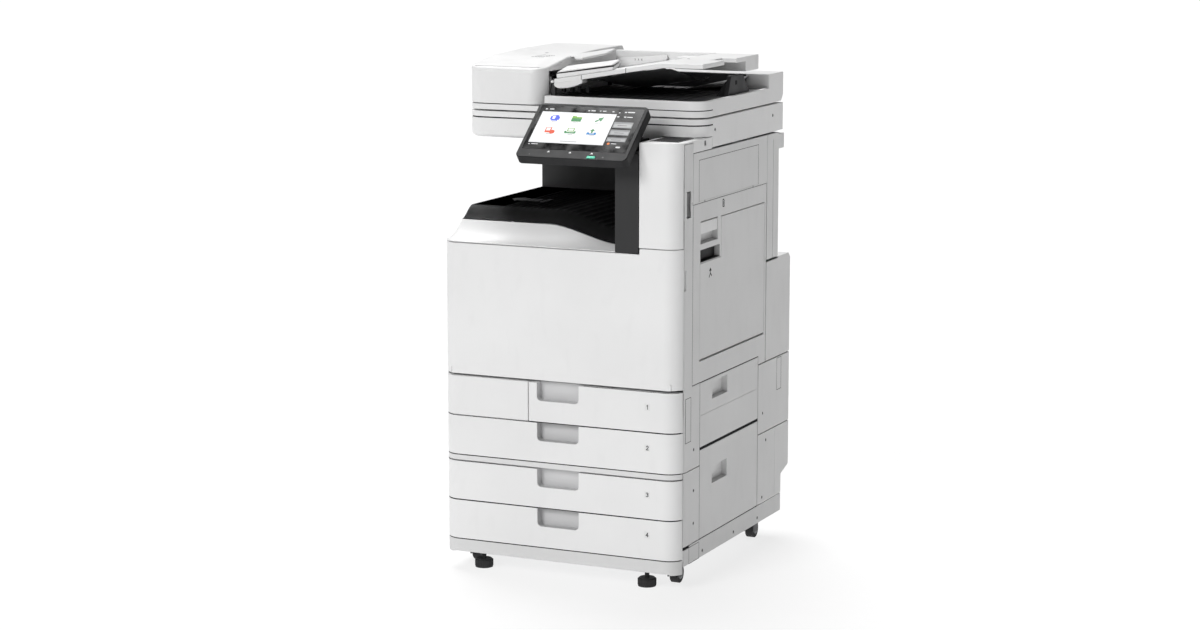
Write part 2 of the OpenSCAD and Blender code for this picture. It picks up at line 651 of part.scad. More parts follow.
// Crowned cover over the feeder's rollers, hinged at the left
module feeder_cover() machine() color("whitesmoke") difference() {
  intersection() {
    translate([0, 0, lid_seam_z + 2]) linear_extrude(150) feeder_plan(0);
    along_y(100, 600) polygon(concat([[feeder_x1 + eps, 1000], [feeder_x1 + eps, feeder_top_z]],
      arc([-half_w + 24, feeder_top_z - 24], 24, 90, 180), [[-half_w, 1000]]));
    along_x(-half_w - eps, 0) polygon(concat([[560, 1000], [560, 1110], [545, feeder_top_z],
      [400, feeder_top_z], [250, feeder_top_z - 7]],
      arc([scanner_y + 16, 1084], 16, 90, 180), [[scanner_y, 1000]]));
  }
  intersection() {
    translate([0, 0, 900]) linear_extrude(300) feeder_plan(wall);
    along_y(100, 600) polygon(concat([[feeder_x1, 900], [feeder_x1, feeder_top_z - wall]],
      arc([-half_w + 24, feeder_top_z - 24], 24 - wall, 90, 180), [[-half_w + wall, 900]]));
    along_x(-half_w, 0) polygon(concat([[557, 900], [557, 1108], [543, feeder_top_z - wall],
      [400, feeder_top_z - wall], [250, feeder_top_z - 7 - wall]],
      arc([scanner_y + 16, 1084], 16 - wall, 90, 180), [[scanner_y + wall, 900]]));
  }
  // Mouth on the right where originals go in and come out
  span([feeder_x1 - 8, 155, 1000], [feeder_x1 + 2, 470, 1092]);
  // Room for the hinge lugs, apart from the pins that cross it
  for (y = cover_lug_y) difference() {
    span([-half_w - eps, y - 0.6, 1000], [cover_hinge_x + 5, y + 10.6, cover_hinge_z + 4.6]);
    rod_y(cover_hinge_x, cover_hinge_z, 1, y - 2, y + 12);
  }
}

// White tray that slopes up to a flat right end, with a deep beam at the back
module document_tray() machine() color("whitesmoke") difference() {
  union() {
    along_y(149, 473) polygon([[-79, 1066], [168, 1108], [270, 1109], [270, 1119], [168, 1118],
      [-79, 1076]]);
    along_y(455, 473) polygon([[-70, 1072], [168, 1112], [168, 1119], [-70, 1119]]);
    span([100, 397, 1086], [270, 473, 1112]);
    rod_y(tray_pivot[0], tray_pivot[2], 3, 152, 470);
    for (y = [170, 300, 440]) span([tray_pivot[0] - 3, y, 1067], [-76, y + 12, 1073]);
  }
  // Hand room in the flat right end
  span([236, 270, 1100], [280, 340, 1130]);
}

// Height of the document tray's sloping surface
function slope_z(x) = 1076 + (x + 79) * 42 / 247;

module side_guide(y0, y1) {
  along_y(y0, y1) polygon([[-74, slope_z(-74) + 0.4], [50, slope_z(50) + 0.4], [50, 1106],
    [46, 1110], [-70, 1110], [-74, 1106]]);
}

module guide_front() machine() color("whitesmoke") {
  side_guide(163, 167);
  along_y(151, 164) polygon([[-70, 1107], [46, 1107], [46, 1110], [-70, 1110]]);
}

module guide_rear() machine() color("whitesmoke") side_guide(447, 451);

module feed_roller() machine() color("#2b2b2d") {
  rod_y(-118, 1062, 4, 174, 456);
  rod_y(-118, 1062, 12, 250, 280);
  rod_y(-118, 1062, 12, 350, 380);
}

// ---------- control panel ----------

// Places a shape drawn in the panel's own plane: X across, Y up the face, Z out of it
module on_panel() {
  machine() translate([0, -panel_reach, 931]) rotate([panel_tilt, 0, 0]) children();
}

module panel_outline(inset, r) {
  x0 = panel_x0 + inset;
  x1 = panel_x0 + panel_w - inset;
  translate([x0 + r, inset]) square([x1 - x0 - 2 * r, panel_l - 2 * inset]);
  translate([x0, inset + r]) square([x1 - x0, panel_l - 2 * inset - 2 * r]);
  for (x = [x0 + r, x1 - r]) for (y = [inset + r, panel_l - inset - r]) translate([x, y]) circle(r);
}

// Gap between the two lugs of the panel's hinge
lug_x = [118, 174];

module panel_case() color("#2a2b2d") difference() {
  union() {
    on_panel() difference() {
      translate([0, 0, -panel_t]) linear_extrude(panel_t) panel_outline(0, 12);
      translate([0, 0, -panel_t + wall]) linear_extrude(panel_t - 2 * wall - 1.6) panel_outline(wall, 9);
      // Seat of the screen and of the key
      translate([panel_x0 + 8, 24, -1.6]) cube([panel_w - 16, panel_l - 31, 5]);
      translate([key_x - 0.4, 4.1, -4]) cube([19.3, 6.8, 9]);
    }
    machine() for (x = lug_x) along_x(x - 4, x + 4) translate([panel_axis[1], panel_axis[2]])
      rotate(panel_tilt) {
        circle(8);
        translate([-6.5, 0]) square([13, 15]);
      }
  }
  machine() rod_x(panel_axis[1], panel_axis[2], 4 + fit, 100, 200);
}

module panel_screen() color("#0b0c0e") on_panel()
  translate([panel_x0 + 8.3, 24.3, -1.5]) cube([panel_w - 16.6, panel_l - 31.6, 1.4]);

module panel_key() color("#2fae86") on_panel()
  translate([key_x, 4.5, -3.4]) cube([18.5, 6, 4]);

// Dark arm between the post's top and the panel
module panel_arm() machine() color("#2a2b2d") {
  rod_x(panel_axis[1], panel_axis[2], 4, lug_x[0] - 8, lug_x[1] + 8);
  rod_x(panel_axis[1], panel_axis[2], 9, lug_x[0] + 4.5, lug_x[1] - 4.5);
  along_x(lug_x[0] + 10, lug_x[1] - 10) polygon([[30, 960], [40, 972], [70, 964], [112, 962],
    [112, 940.2], [40, 940.2]]);
}

// ---------- moving covers ----------

// Front door with a stepped upper edge
module front_door() machine() color("whitesmoke") difference() {
  union() {
    difference() {
      union() {
        fascia(-half_w, half_w, door_z0, door_top_z - 0.8);
        fascia(post_x1 + 2, half_w, door_top_z - 20, pillar_z0 - gap);
      }
      // The hollows of both parts run into each other
      intersection() {
        translate([0, 0, door_top_z - 30]) linear_extrude(36) body_plan(wall, 90);
        span([post_x1 + 5, wall, door_top_z - 30], [half_w - 6, 40, door_top_z + 6]);
      }
    }
    for (s = [-1, 1]) for (e = [-1, 1]) {
      span([s * 254 + e * 6.5 - 1.5, 1, door_z0 + 1], [s * 254 + e * 6.5 + 1.5, 18, door_z0 + 14]);
    }
  }
  // Room for the hinge lugs, apart from the pins that cross it
  for (s = [-1, 1]) difference() {
    span([s * 254 - 5, wall, door_z0 - eps], [s * 254 + 5, 30, door_z0 + 18]);
    rod_x(7, door_z0 + 6, 2, s * 254 - 9, s * 254 + 9);
  }
}

module drawer_pocket(z1, inset) {
  x0 = grip_x0 + inset;
  x1 = grip_x0 + grip_w - inset;
  z0 = z1 - grip_h + inset;
  r = 9 - inset;
  along_y(-eps, grip_d - inset) {
    translate([x0, z0 + r]) square([x1 - x0, z1 - z0 - r + 5]);
    translate([x0 + r, z0]) square([x1 - x0 - 2 * r, r + eps]);
    for (x = [x0 + r, x1 - r]) translate([x, z0 + r]) circle(r);
  }
}

// Drawer front i, counted from the top, whose finger pocket opens upwards
module drawer_front(i, x0) machine() color("whitesmoke") {
  z0 = drawer_row_z[i];
  z1 = z0 + drawer_pitch - gap - (i == 2 ? gap / 2 : 0);
  difference() {
    union() {
      fascia(x0, half_w, z0, z1);
      span([grip_x0 - wall, 1, z1 - grip_h - wall], [grip_x0 + grip_w + wall, grip_d + wall, z1]);
      // Back plate that is screwed to the cassette
      span([max(x0 + wall, -200), front_seam_y - 2, z0 + 1], [200, front_seam_y, z1 - 14]);
    }
    drawer_pocket(z1, 0);
  }
}

module cassette_front_1() drawer_front(0, blank_x1 + gap);
module cassette_front_2() drawer_front(1, -half_w);
module cassette_front_3() drawer_front(2, -half_w);
module cassette_front_4() drawer_front(3, -half_w);

// Paper cassette i, open at the top, low at the feeding corner
module cassette(i, x0) machine() color("#55585c") {
  z0 = drawer_row_z[i] + 5;
  y1 = front_seam_y + cassette_d;
  difference() {
    span([x0, front_seam_y, z0], [cassette_x1, y1, z0 + cassette_h]);
    span([x0 + 2.5, front_seam_y + 2.5, z0 + 2.5], [cassette_x1 - 2.5, y1 - 2.5, z0 + 90]);
    span([cassette_x1 - 5, 150, z0 + cassette_h - 14], [cassette_x1 + eps, 410, z0 + 90]);
  }
  // Runners on both sides
  for (x = [x0 - 4, cassette_x1 - eps]) span([x, front_seam_y + 20, z0 + 24], [x + 5, y1, z0 + 30]);
}

module cassette_1() cassette(0, cassette_short_x0);
module cassette_2() cassette(1, cassette_x0);
module cassette_3() cassette(2, cassette_x0);
module cassette_4() cassette(3, cassette_x0);

module power_switch() machine() color("#1b1b1c") {
  along_y(38, 58) polygon([[272, 807], [281.5, 807], [279.6, 832], [281.5, 857], [272, 857]]);
  rod_y(switch_axis[0], switch_axis[1], 1.5, 35, 61);
}

// Right door: hinged at the back, it opens the paper path and carries the bypass tray
module right_door() machine() color("whitesmoke") difference() {
  union() {
    difference() {
      right_panel(door_depth) polygon([[71.5, 441], [455.5, 441], [455.5, 421.5],
        [right_door_y1, 421.5], [right_door_y1, right_door_z1], [71.5, right_door_z1]]);
      // Hollow behind the skin, apart from the pockets
      span([200, 74.5, 444], [half_w - wall, right_door_y1 - wall, right_door_z1 - wall]);
      span([200, 458.5, 424], [half_w - wall, right_door_y1 - wall, 460]);
    }
    span([half_w - 18, 110, 737], [half_w - 1, 212, 791]);
    span([half_w - 18, 108, 697], [half_w - 1, 224, 730]);
    span([half_w - 12, 106, 483], [half_w - 1, 490, 703]);
    span([half_w - 12, 225, 483], [half_w - 1, 490, 790]);
    // Ribs that stiffen the door
    for (z = [441, 560, 650, 808]) span([half_w - door_depth, 74, z], [half_w - 1, 484, z + 3]);
    for (z = [452, 800]) {
      span([hinge_x - 4, 478, z - 3], [half_w - 1, right_door_y1, z]);
      span([hinge_x - 4, 478, z + 6], [half_w - 1, right_door_y1, z + 9]);
    }
  }
  // The tail is shallow and relieved, so that it clears the lower door's swing
  span([200, 454, 421], [half_w - tail_depth, right_door_y1 + eps, 441]);
  translate([hinge_x, path_door_y1 - 4.5, 421]) cylinder(h = 19.5, r = 7.6);
  // Pocket of the release lever and finger recess of the bypass tray
  span([half_w - 15, 113, 740], [half_w + eps, 209, 788.5]);
  span([half_w - 15, 111, 700], [half_w + eps, 221, 727]);
  // Pocket of the bypass tray
  span([half_w - 9, 109, 486.5], [half_w + eps, 487, 699]);
  span([half_w - 9, 228, 486.5], [half_w + eps, 487, 787.5]);
  rod_y(lever_axis[0], lever_axis[1], 1.5 + fit, 110.5, 211.5);
  rod_y(bypass_axis[0], bypass_axis[1], 1.2 + fit, 106.5, 489.5);
  for (z = [452, 800]) difference() {
    hinge_notch(right_door_y1 - 4.5, z);
    hinge_pin(right_door_y1 - 4.5, z);
  }
}

module right_lever() machine() color("gainsboro") {
  along_y(114, 208) polygon([[276, 761], [281, 761], [281.6, 764], [281.6, 786], [276, 786]]);
  rod_y(lever_axis[0], lever_axis[1], 1.5, 111, 211);
}

// Bypass tray, closed flat in the right door
module bypass_tray() machine() color("whitesmoke") {
  for (y = [107, 484]) rod_y(bypass_axis[0], bypass_axis[1], 1.2, y, y + 5);
  difference() {
    along_x(half_w - 5, half_w) polygon([[110.5, 490.5], [485.5, 490.5], [485.5, 786], [229.5, 786],
      [229.5, 698], [110.5, 698]]);
    along_x(half_w - 6, half_w - 2.5) polygon([[114, 498], [482, 498], [482, 782.5], [233, 782.5],
      [233, 694.5], [114, 694.5]]);
  }
}

// Access door of a paper path, with a finger pocket
module path_door(z0, z1, grip_z, hinge_z) {
  grip_y = 184;
  difference() {
    union() {
      difference() {
        right_panel(door_depth - 4)
          translate([path_door_y0, z0]) square([path_door_y1 - path_door_y0, z1 - z0]);
        span([200, path_door_y0 + wall, z0 + wall], [half_w - wall, path_door_y1 - wall, z1 - wall]);
      }
      span([half_w - 16, grip_y - 3, grip_z - 3], [half_w - 1, grip_y + 90, grip_z + 41]);
      for (z = hinge_z) {
        span([hinge_x - 4, 436, z - 3], [half_w - 1, path_door_y1, z]);
        span([hinge_x - 4, 436, z + 6], [half_w - 1, path_door_y1, z + 9]);
      }
    }
    span([half_w - 13, grip_y, grip_z], [half_w + eps, grip_y + 87, grip_z + 38]);
    for (z = hinge_z) difference() {
      hinge_notch(path_door_y1 - 4.5, z);
      hinge_pin(path_door_y1 - 4.5, z);
    }
  }
}

module lower_right_door() machine() color("whitesmoke") difference() {
  path_door(lower_door_z0, 439, 393, [306, 424]);
  span([half_w - 0.7, 120, 366.5], [half_w + eps, 448, 367.5]);
}

module unit_right_door() machine() color("whitesmoke")
  path_door(95.5, unit_door_z1, 205, [104, 240]);

// ---------- engine ----------

module toner_bottle() machine() color("#3c3f45") {
  rod_y(-170, 650, 44, 84, 430);
  rod_y(-170, 650, 20, 70, 85);
  for (y = [140, 210, 280, 350]) rod_y(-170, 650, 46, y, y + 8);
}

module laser_unit() machine() color("#4a4d52") difference() {
  span([-240, 100, 470], [100, 430, 520]);
  span([-234, 106, 476], [94, 424, 530]);
}

module drum() machine() color("#2f7f78") {
  rod_y(190, 560, 30, 92, 432);
  rod_y(190, 560, 5, 74, 452);
}

module fuser_roller() machine() color("#303134") {
  rod_y(205, 650, 18, 92, 432);
  rod_y(205, 650, 6, 74, 452);
}

module pressure_roller() machine() color("#a7543c") {
  rod_y(242, 650, 18.3, 92, 432);
  rod_y(242, 650, 6, 74, 452);
}

module circuit_boards() machine() color("#2e6b45") {
  for (x = [-250, 20]) span([x, 590, 440], [x + 230, 591.6, 636]);
  for (x = [-230, -150, 50, 150]) span([x, 591.6, 470], [x + 50, 612, 520]);
  span([-250, 600, 290], [-20, 601.6, 400]);
  for (x = [-230, -120]) span([x, 601.6, 325], [x + 60, 640, 370]);
}

// Three-pole power inlet in the rear box
module power_inlet() machine() color("#19191a") {
  difference() {
    span([-217, 636, 289], [-183, 651, 315]);
    span([-213, 639, 293], [-187, 660, 311]);
  }
  for (x = [-207, -200, -193]) span([x - 1, 638, 300], [x + 1, 648, 304]);
}

module cover_screws() machine() color("dimgray") {
  for (p = concat(unit_screws, skirt_screws, main_screws, scanner_screws)) difference() {
    rod_x(p[0], p[1], 3.3, half_w - 2.1, half_w - 0.5);
    translate([half_w - 1.3, p[0] - 0.5, p[1] - 2.2]) cube([3, 1, 4.4]);
    translate([half_w - 1.3, p[0] - 2.2, p[1] - 0.5]) cube([3, 4.4, 1]);
  }
}

// ---------- feet and casters ----------

module levelling_feet() machine() color("#1c1c1d") for (x = [-202, 192]) {
  rod_z(x, 40, 19.5, 0, 16);
  rod_z(x, 40, 17, 15, 19);
  rod_z(x, 40, 5, 18, 66);
}

// Fork of a caster that trails behind its swivel axis
module caster_fork(x, y) {
  rod_z(x, y, 5.9, 44, 62);
  rod_z(x, y, 20, 47.5, 53.7);
  for (s = [-1, 1]) span([x + s * 12 - 1.5, y - 8, 16], [x + s * 12 + 1.5, y + caster_trail + 6, 48.5]);
  rod_x(y + caster_trail, caster_r, 4, x - 13, x + 13);
}

module caster_wheel(x, y) difference() {
  union() {
    rod_x(y + caster_trail, caster_r, caster_r, x - 8.5, x + 8.5);
    rod_x(y + caster_trail, caster_r, 8, x - 10, x + 10);
  }
  rod_x(y + caster_trail, caster_r, 4 + fit, x - 20, x + 20);
}

module front_left_fork() machine() color("#3a3a3c") caster_fork(-caster_x, caster_front_y);
module front_right_fork() machine() color("#3a3a3c") caster_fork(caster_x, caster_front_y);
module rear_forks() machine() color("#3a3a3c") for (x = [-caster_x, caster_x]) difference() {
  caster_fork(x, caster_rear_y);
  span([x - 30, caster_rear_y - 30, 53.7], [x + 30, caster_rear_y + 30, 70]);
}
module front_left_wheel() machine() color("#1c1c1d") caster_wheel(-caster_x, caster_front_y);
module front_right_wheel() machine() color("#1c1c1d") caster_wheel(caster_x, caster_front_y);
module rear_left_wheel() machine() color("#1c1c1d") caster_wheel(-caster_x, caster_rear_y);
module rear_right_wheel() machine() color("#1c1c1d") caster_wheel(caster_x, caster_rear_y);

main_frame();
lower_frame();
base_trim();
left_cover();
lower_left_cover();
rear_cover();
rear_box();
lower_rear_cover();
shoulder_cover();
pillar_cover();
cavity_cover();
output_tray();
upper_right_cover();
front_column();
blank_cover();
scanner_base();
platen_glass();
cover_screws();
power_inlet();
circuit_boards();
panel_arm();
laser_unit();
scan_carriage();
lid_base();
lid_pad();
feeder_cover();
document_tray();
guide_front();
guide_rear();
feed_roller();
panel_case();
panel_screen();
panel_key();
front_door();
cassette_1();
cassette_2();
cassette_3();
cassette_4();
cassette_front_1();
cassette_front_2();
cassette_front_3();
cassette_front_4();
power_switch();
right_door();
right_lever();
bypass_tray();
lower_right_door();
unit_right_door();
toner_bottle();
drum();
fuser_roller();
pressure_roller();
levelling_feet();
front_left_fork();
front_right_fork();
rear_forks();
front_left_wheel();
front_right_wheel();
rear_left_wheel();
rear_right_wheel();
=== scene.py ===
"""Looks of a floor-standing office photocopier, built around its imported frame.

Lengths given in millimetres are counted like on the machine's own drawing: X from
the middle, to the right of a person at the front; Y backwards from the front door's
face; Z up from the floor. at() turns them into metres in the shared frame.
"""

import logging  # noqa: E402
import math  # noqa: E402
from collections.abc import Callable, Iterable, Sequence  # noqa: E402
from dataclasses import dataclass  # noqa: E402
from enum import Enum  # noqa: E402

import bmesh  # noqa: E402
import bpy  # noqa: E402
from mathutils import Matrix, Vector  # noqa: E402


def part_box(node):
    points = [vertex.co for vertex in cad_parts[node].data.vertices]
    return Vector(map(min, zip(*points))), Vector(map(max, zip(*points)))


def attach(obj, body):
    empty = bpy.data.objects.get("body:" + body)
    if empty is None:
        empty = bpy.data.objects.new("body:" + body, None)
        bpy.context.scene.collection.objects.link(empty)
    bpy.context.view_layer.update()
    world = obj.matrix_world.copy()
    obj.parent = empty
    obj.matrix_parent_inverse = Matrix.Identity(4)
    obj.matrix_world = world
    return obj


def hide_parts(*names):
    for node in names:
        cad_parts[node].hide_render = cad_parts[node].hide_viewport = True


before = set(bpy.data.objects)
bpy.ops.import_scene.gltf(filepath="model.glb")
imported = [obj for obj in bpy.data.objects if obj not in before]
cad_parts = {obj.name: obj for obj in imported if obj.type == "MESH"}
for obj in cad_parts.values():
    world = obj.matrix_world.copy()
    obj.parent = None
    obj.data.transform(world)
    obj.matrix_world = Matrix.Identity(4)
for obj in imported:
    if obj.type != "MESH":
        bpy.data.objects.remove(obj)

LOG = logging.getLogger("photocopier")
MM = 0.001
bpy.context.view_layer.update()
DOOR_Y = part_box("front_door")[0].y
HALF_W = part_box("right_door")[1].x / MM
RGB = tuple[float, float, float]
Point = tuple[float, float, float]


def at(x: float, y: float, z: float) -> Vector:
    """Turns drawing lengths into a place in the shared frame.

    Args:
        x: Millimetres to the right of the middle.
        y: Millimetres behind the front door's face.
        z: Millimetres above the floor.

    Returns:
        The place in metres.
    """
    return Vector((x * MM, DOOR_Y + y * MM, z * MM))


def ease(value: float, start: float, end: float) -> float:
    """Steps smoothly from 0 at start to 1 at end.

    Args:
        value: Where to read the step.
        start: Where the step begins.
        end: Where the step ends.

    Returns:
        The height of the step there, from 0 to 1.
    """
    t = min(1.0, max(0.0, (value - start) / (end - start)))
    return t * t * (3 - 2 * t)


class Axis(Enum):
    """The three directions of the machine."""

    X = Vector((1, 0, 0))
    Y = Vector((0, 1, 0))
    Z = Vector((0, 0, 1))


# ---------------------------------------------------------------- finishes


class Graph:
    """The shader nodes of one material, with short ways to add and link them."""

    def __init__(self, name: str) -> None:
        """Starts a material of that name with its Principled shader."""
        self.material = bpy.data.materials.new(name)
        self.material.use_nodes = True
        self.tree = self.material.node_tree
        self.shader = self.tree.nodes["Principled BSDF"]
        self.place = self.add("ShaderNodeTexCoord").outputs["Object"]

    def add(self, kind: str, **values: object) -> bpy.types.Node:
        """Adds a node and sets its plain properties.

        Args:
            kind: The node's type name.
            **values: Properties of the node itself.

        Returns:
            The new node.
        """
        node = self.tree.nodes.new(kind)
        for key, value in values.items():
            setattr(node, key, value)
        return node

    def link(self, source: bpy.types.NodeSocket, target: bpy.types.NodeSocket) -> None:
        """Joins an output to an input."""
        self.tree.links.new(source, target)

    def stretched(self, stretch: Point) -> bpy.types.NodeSocket:
        """Gives the object's coordinates, stretched by a factor along each axis."""
        if stretch == (1, 1, 1):
            return self.place
        node = self.add("ShaderNodeMapping")
        node.inputs["Scale"].default_value = stretch
        self.link(self.place, node.inputs["Vector"])
        return node.outputs["Vector"]

    def noise(self, scale: float, detail: float = 2.0, stretch: Point = (1, 1, 1)) -> bpy.types.NodeSocket:
        """Adds a noise pattern on the object's coordinates.

        Args:
            scale: Cells per metre.
            detail: Finer layers on top of the first.
            stretch: Factor on the pattern along each axis.

        Returns:
            The pattern, about 0.5 on average.
        """
        node = self.add("ShaderNodeTexNoise")
        node.inputs["Scale"].default_value = scale
        node.inputs["Detail"].default_value = detail
        self.link(self.stretched(stretch), node.inputs["Vector"])
        return node.outputs["Fac"]

    def spread(
        self, source: bpy.types.NodeSocket, low: float, high: float, start: float = 0.3, end: float = 0.7
    ) -> bpy.types.NodeSocket:
        """Maps a pattern between start and end onto low and high.

        Args:
            source: The pattern to read.
            low: Value given at start.
            high: Value given at end.
            start: Pattern value where the change begins.
            end: Pattern value where the change ends.

        Returns:
            The mapped value.
        """
        node = self.add("ShaderNodeMapRange")
        for name, value in (("From Min", start), ("From Max", end), ("To Min", low), ("To Max", high)):
            node.inputs[name].default_value = value
        self.link(source, node.inputs["Value"])
        return node.outputs["Result"]

    def mix(self, factor: bpy.types.NodeSocket, low: object, high: object) -> bpy.types.NodeSocket:
        """Mixes two colours, each a plain colour or another node's colour.

        Args:
            factor: How much of the second colour shows.
            low: The colour at 0.
            high: The colour at 1.

        Returns:
            The mixed colour.
        """
        node = self.add("ShaderNodeMix", data_type="RGBA")
        self.link(factor, node.inputs["Factor"])
        for socket, value in ((node.inputs[6], low), (node.inputs[7], high)):
            if isinstance(value, tuple):
                socket.default_value = (*value, 1.0)
            else:
                self.link(value, socket)
        return node.outputs[2]

    def relief(
        self, height: bpy.types.NodeSocket, depth: float, under: object = None
    ) -> bpy.types.NodeSocket:
        """Turns a pattern into surface relief.

        Args:
            height: The pattern.
            depth: Depth of the relief in metres.
            under: Relief that this one lies on, if any.

        Returns:
            The bent surface direction.
        """
        node = self.add("ShaderNodeBump")
        node.inputs["Distance"].default_value = depth
        self.link(height, node.inputs["Height"])
        if under is not None:
            self.link(under, node.inputs["Normal"])
        return node.outputs["Normal"]

    def use(self, **sockets: object) -> None:
        """Sets or links the shader's sockets, named with underscores for spaces."""
        for key, value in sockets.items():
            target = self.shader.inputs[key.replace("_", " ")]
            if isinstance(value, bpy.types.NodeSocket):
                self.link(value, target)
            elif isinstance(value, tuple):
                target.default_value = (*value, 1.0)
            else:
                target.default_value = value


@dataclass(frozen=True)
class Plastic:
    """Moulded plastic with a fine grain, slight shade changes and handling marks."""

    name: str
    colour: RGB
    roughness: float = 0.42
    grain: float = 1500.0
    depth: float = 0.00002
    mottle: float = 0.03
    coat: float = 0.0
    gloss: float = 0.5

    def build(self) -> bpy.types.Material:
        """Makes the material."""
        graph = Graph(self.name)
        cloud = graph.noise(3.5, 4)
        rub = graph.noise(38, 3, (1, 1, 0.35))
        fine = graph.noise(self.grain, 2)
        low = tuple(c * (1 - self.mottle) for c in self.colour)
        high = tuple(min(1.0, c * (1 + self.mottle)) for c in self.colour)
        shade = graph.mix(graph.spread(cloud, 0, 1), low, high)
        dust = tuple(c * (1 - 2.2 * self.mottle) for c in self.colour)
        shade = graph.mix(graph.spread(rub, 0, 0.35, 0.55, 0.8), shade, dust)
        graph.use(
            Base_Color=shade,
            Roughness=graph.spread(rub, self.roughness - 0.05, self.roughness + 0.07),
            Specular_IOR_Level=self.gloss,
            Coat_Weight=self.coat,
            Coat_Roughness=0.12,
            Normal=graph.relief(fine, self.depth),
        )
        return graph.material


@dataclass(frozen=True)
class Metal:
    """Bare or plated metal with drawn or mottled marks."""

    name: str
    colour: RGB
    roughness: float = 0.35
    stretch: Point = (1, 1, 1)
    scale: float = 160.0
    metallic: float = 1.0

    def build(self) -> bpy.types.Material:
        """Makes the material."""
        graph = Graph(self.name)
        drawn = graph.noise(self.scale, 3, self.stretch)
        cell = graph.add("ShaderNodeTexVoronoi")
        cell.inputs["Scale"].default_value = self.scale * 0.6
        graph.link(graph.stretched(self.stretch), cell.inputs["Vector"])
        low = tuple(c * 0.86 for c in self.colour)
        shade = graph.mix(graph.spread(drawn, 0, 1), low, self.colour)
        shade = graph.mix(graph.spread(cell.outputs["Distance"], 0, 0.25, 0, 1), shade, low)
        graph.use(
            Base_Color=shade,
            Metallic=self.metallic,
            Roughness=graph.spread(drawn, self.roughness - 0.08, self.roughness + 0.1),
            Normal=graph.relief(drawn, 0.00003),
        )
        return graph.material


@dataclass(frozen=True)
class Rubber:
    """Dull rubber or foam with a pitted skin."""

    name: str
    colour: RGB
    roughness: float = 0.8
    pits: float = 900.0
    depth: float = 0.0001

    def build(self) -> bpy.types.Material:
        """Makes the material."""
        graph = Graph(self.name)
        pits = graph.add("ShaderNodeTexVoronoi")
        pits.inputs["Scale"].default_value = self.pits
        graph.link(graph.place, pits.inputs["Vector"])
        worn = graph.noise(70, 4)
        pale = tuple(min(1.0, c * 1.5 + 0.01) for c in self.colour)
        graph.use(
            Base_Color=graph.mix(graph.spread(worn, 0, 0.7, 0.45, 0.75), self.colour, pale),
            Roughness=graph.spread(worn, self.roughness - 0.08, min(1.0, self.roughness + 0.08)),
            Normal=graph.relief(pits.outputs["Distance"], self.depth),
        )
        return graph.material


@dataclass(frozen=True)
class Glass:
    """Flat clear glass with a slight tint and wiping marks."""

    name: str
    colour: RGB = (0.93, 0.97, 0.96)

    def build(self) -> bpy.types.Material:
        """Makes the material."""
        graph = Graph(self.name)
        wiped = graph.noise(30, 4, (1, 0.3, 1))
        graph.use(
            Base_Color=self.colour,
            Roughness=graph.spread(wiped, 0.01, 0.06),
            Transmission_Weight=1.0,
            IOR=1.5,
        )
        return graph.material


@dataclass(frozen=True)
class Display:
    """Lit part of the touch screen, with its faint raster."""

    name: str
    colour: RGB
    glow: float = 0.85

    def build(self) -> bpy.types.Material:
        """Makes the material."""
        graph = Graph(self.name)
        raster = graph.add("ShaderNodeTexVoronoi")
        raster.inputs["Scale"].default_value = 2600
        graph.link(graph.place, raster.inputs["Vector"])
        dark = tuple(c * 0.93 for c in self.colour)
        uneven = graph.mix(graph.spread(raster.outputs["Distance"], 0, 1, 0, 1), self.colour, dark)
        backlight = graph.mix(graph.spread(graph.noise(14, 1), 0, 0.5), uneven, dark)
        graph.use(
            Base_Color=tuple(c * 0.15 for c in self.colour),
            Roughness=0.12,
            Emission_Color=backlight,
            Emission_Strength=self.glow,
        )
        return graph.material


@dataclass(frozen=True)
class Board:
    """Circuit board with copper tracks under green lacquer."""

    name: str
    colour: RGB
    track: RGB

    def build(self) -> bpy.types.Material:
        """Makes the material."""
        graph = Graph(self.name)
        cells = graph.add("ShaderNodeTexBrick")
        cells.inputs["Scale"].default_value = 60
        cells.inputs["Mortar Size"].default_value = 0.04
        graph.link(graph.stretched((1, 1, 1)), cells.inputs["Vector"])
        wear = graph.noise(300, 3, (1, 1, 4))
        mixed = graph.mix(cells.outputs["Fac"], self.colour, self.track)
        graph.use(
            Base_Color=graph.mix(graph.spread(wear, 0, 0.5), mixed, self.colour),
            Roughness=graph.spread(wear, 0.25, 0.4),
            Normal=graph.relief(cells.outputs["Fac"], 0.00006),
        )
        return graph.material


@dataclass(frozen=True)
class LightTable:
    """Pale studio floor that glows a little, so that shadows stay soft."""

    name: str = "studio floor"
    colour: RGB = (0.22, 0.22, 0.22)
    glow: float = 0.77

    def build(self) -> bpy.types.Material:
        """Makes the material."""
        graph = Graph(self.name)
        paper = graph.noise(30, 3)
        low = tuple(c * 0.99 for c in self.colour)
        graph.use(
            Base_Color=graph.mix(graph.spread(paper, 0, 1), low, self.colour),
            Roughness=graph.spread(paper, 0.92, 0.98),
            Specular_IOR_Level=0.0,
            Emission_Color=(1.0, 1.0, 1.0),
            Emission_Strength=self.glow,
        )
        return graph.material


Finish = Plastic | Metal | Rubber | Glass | Display | Board | LightTable

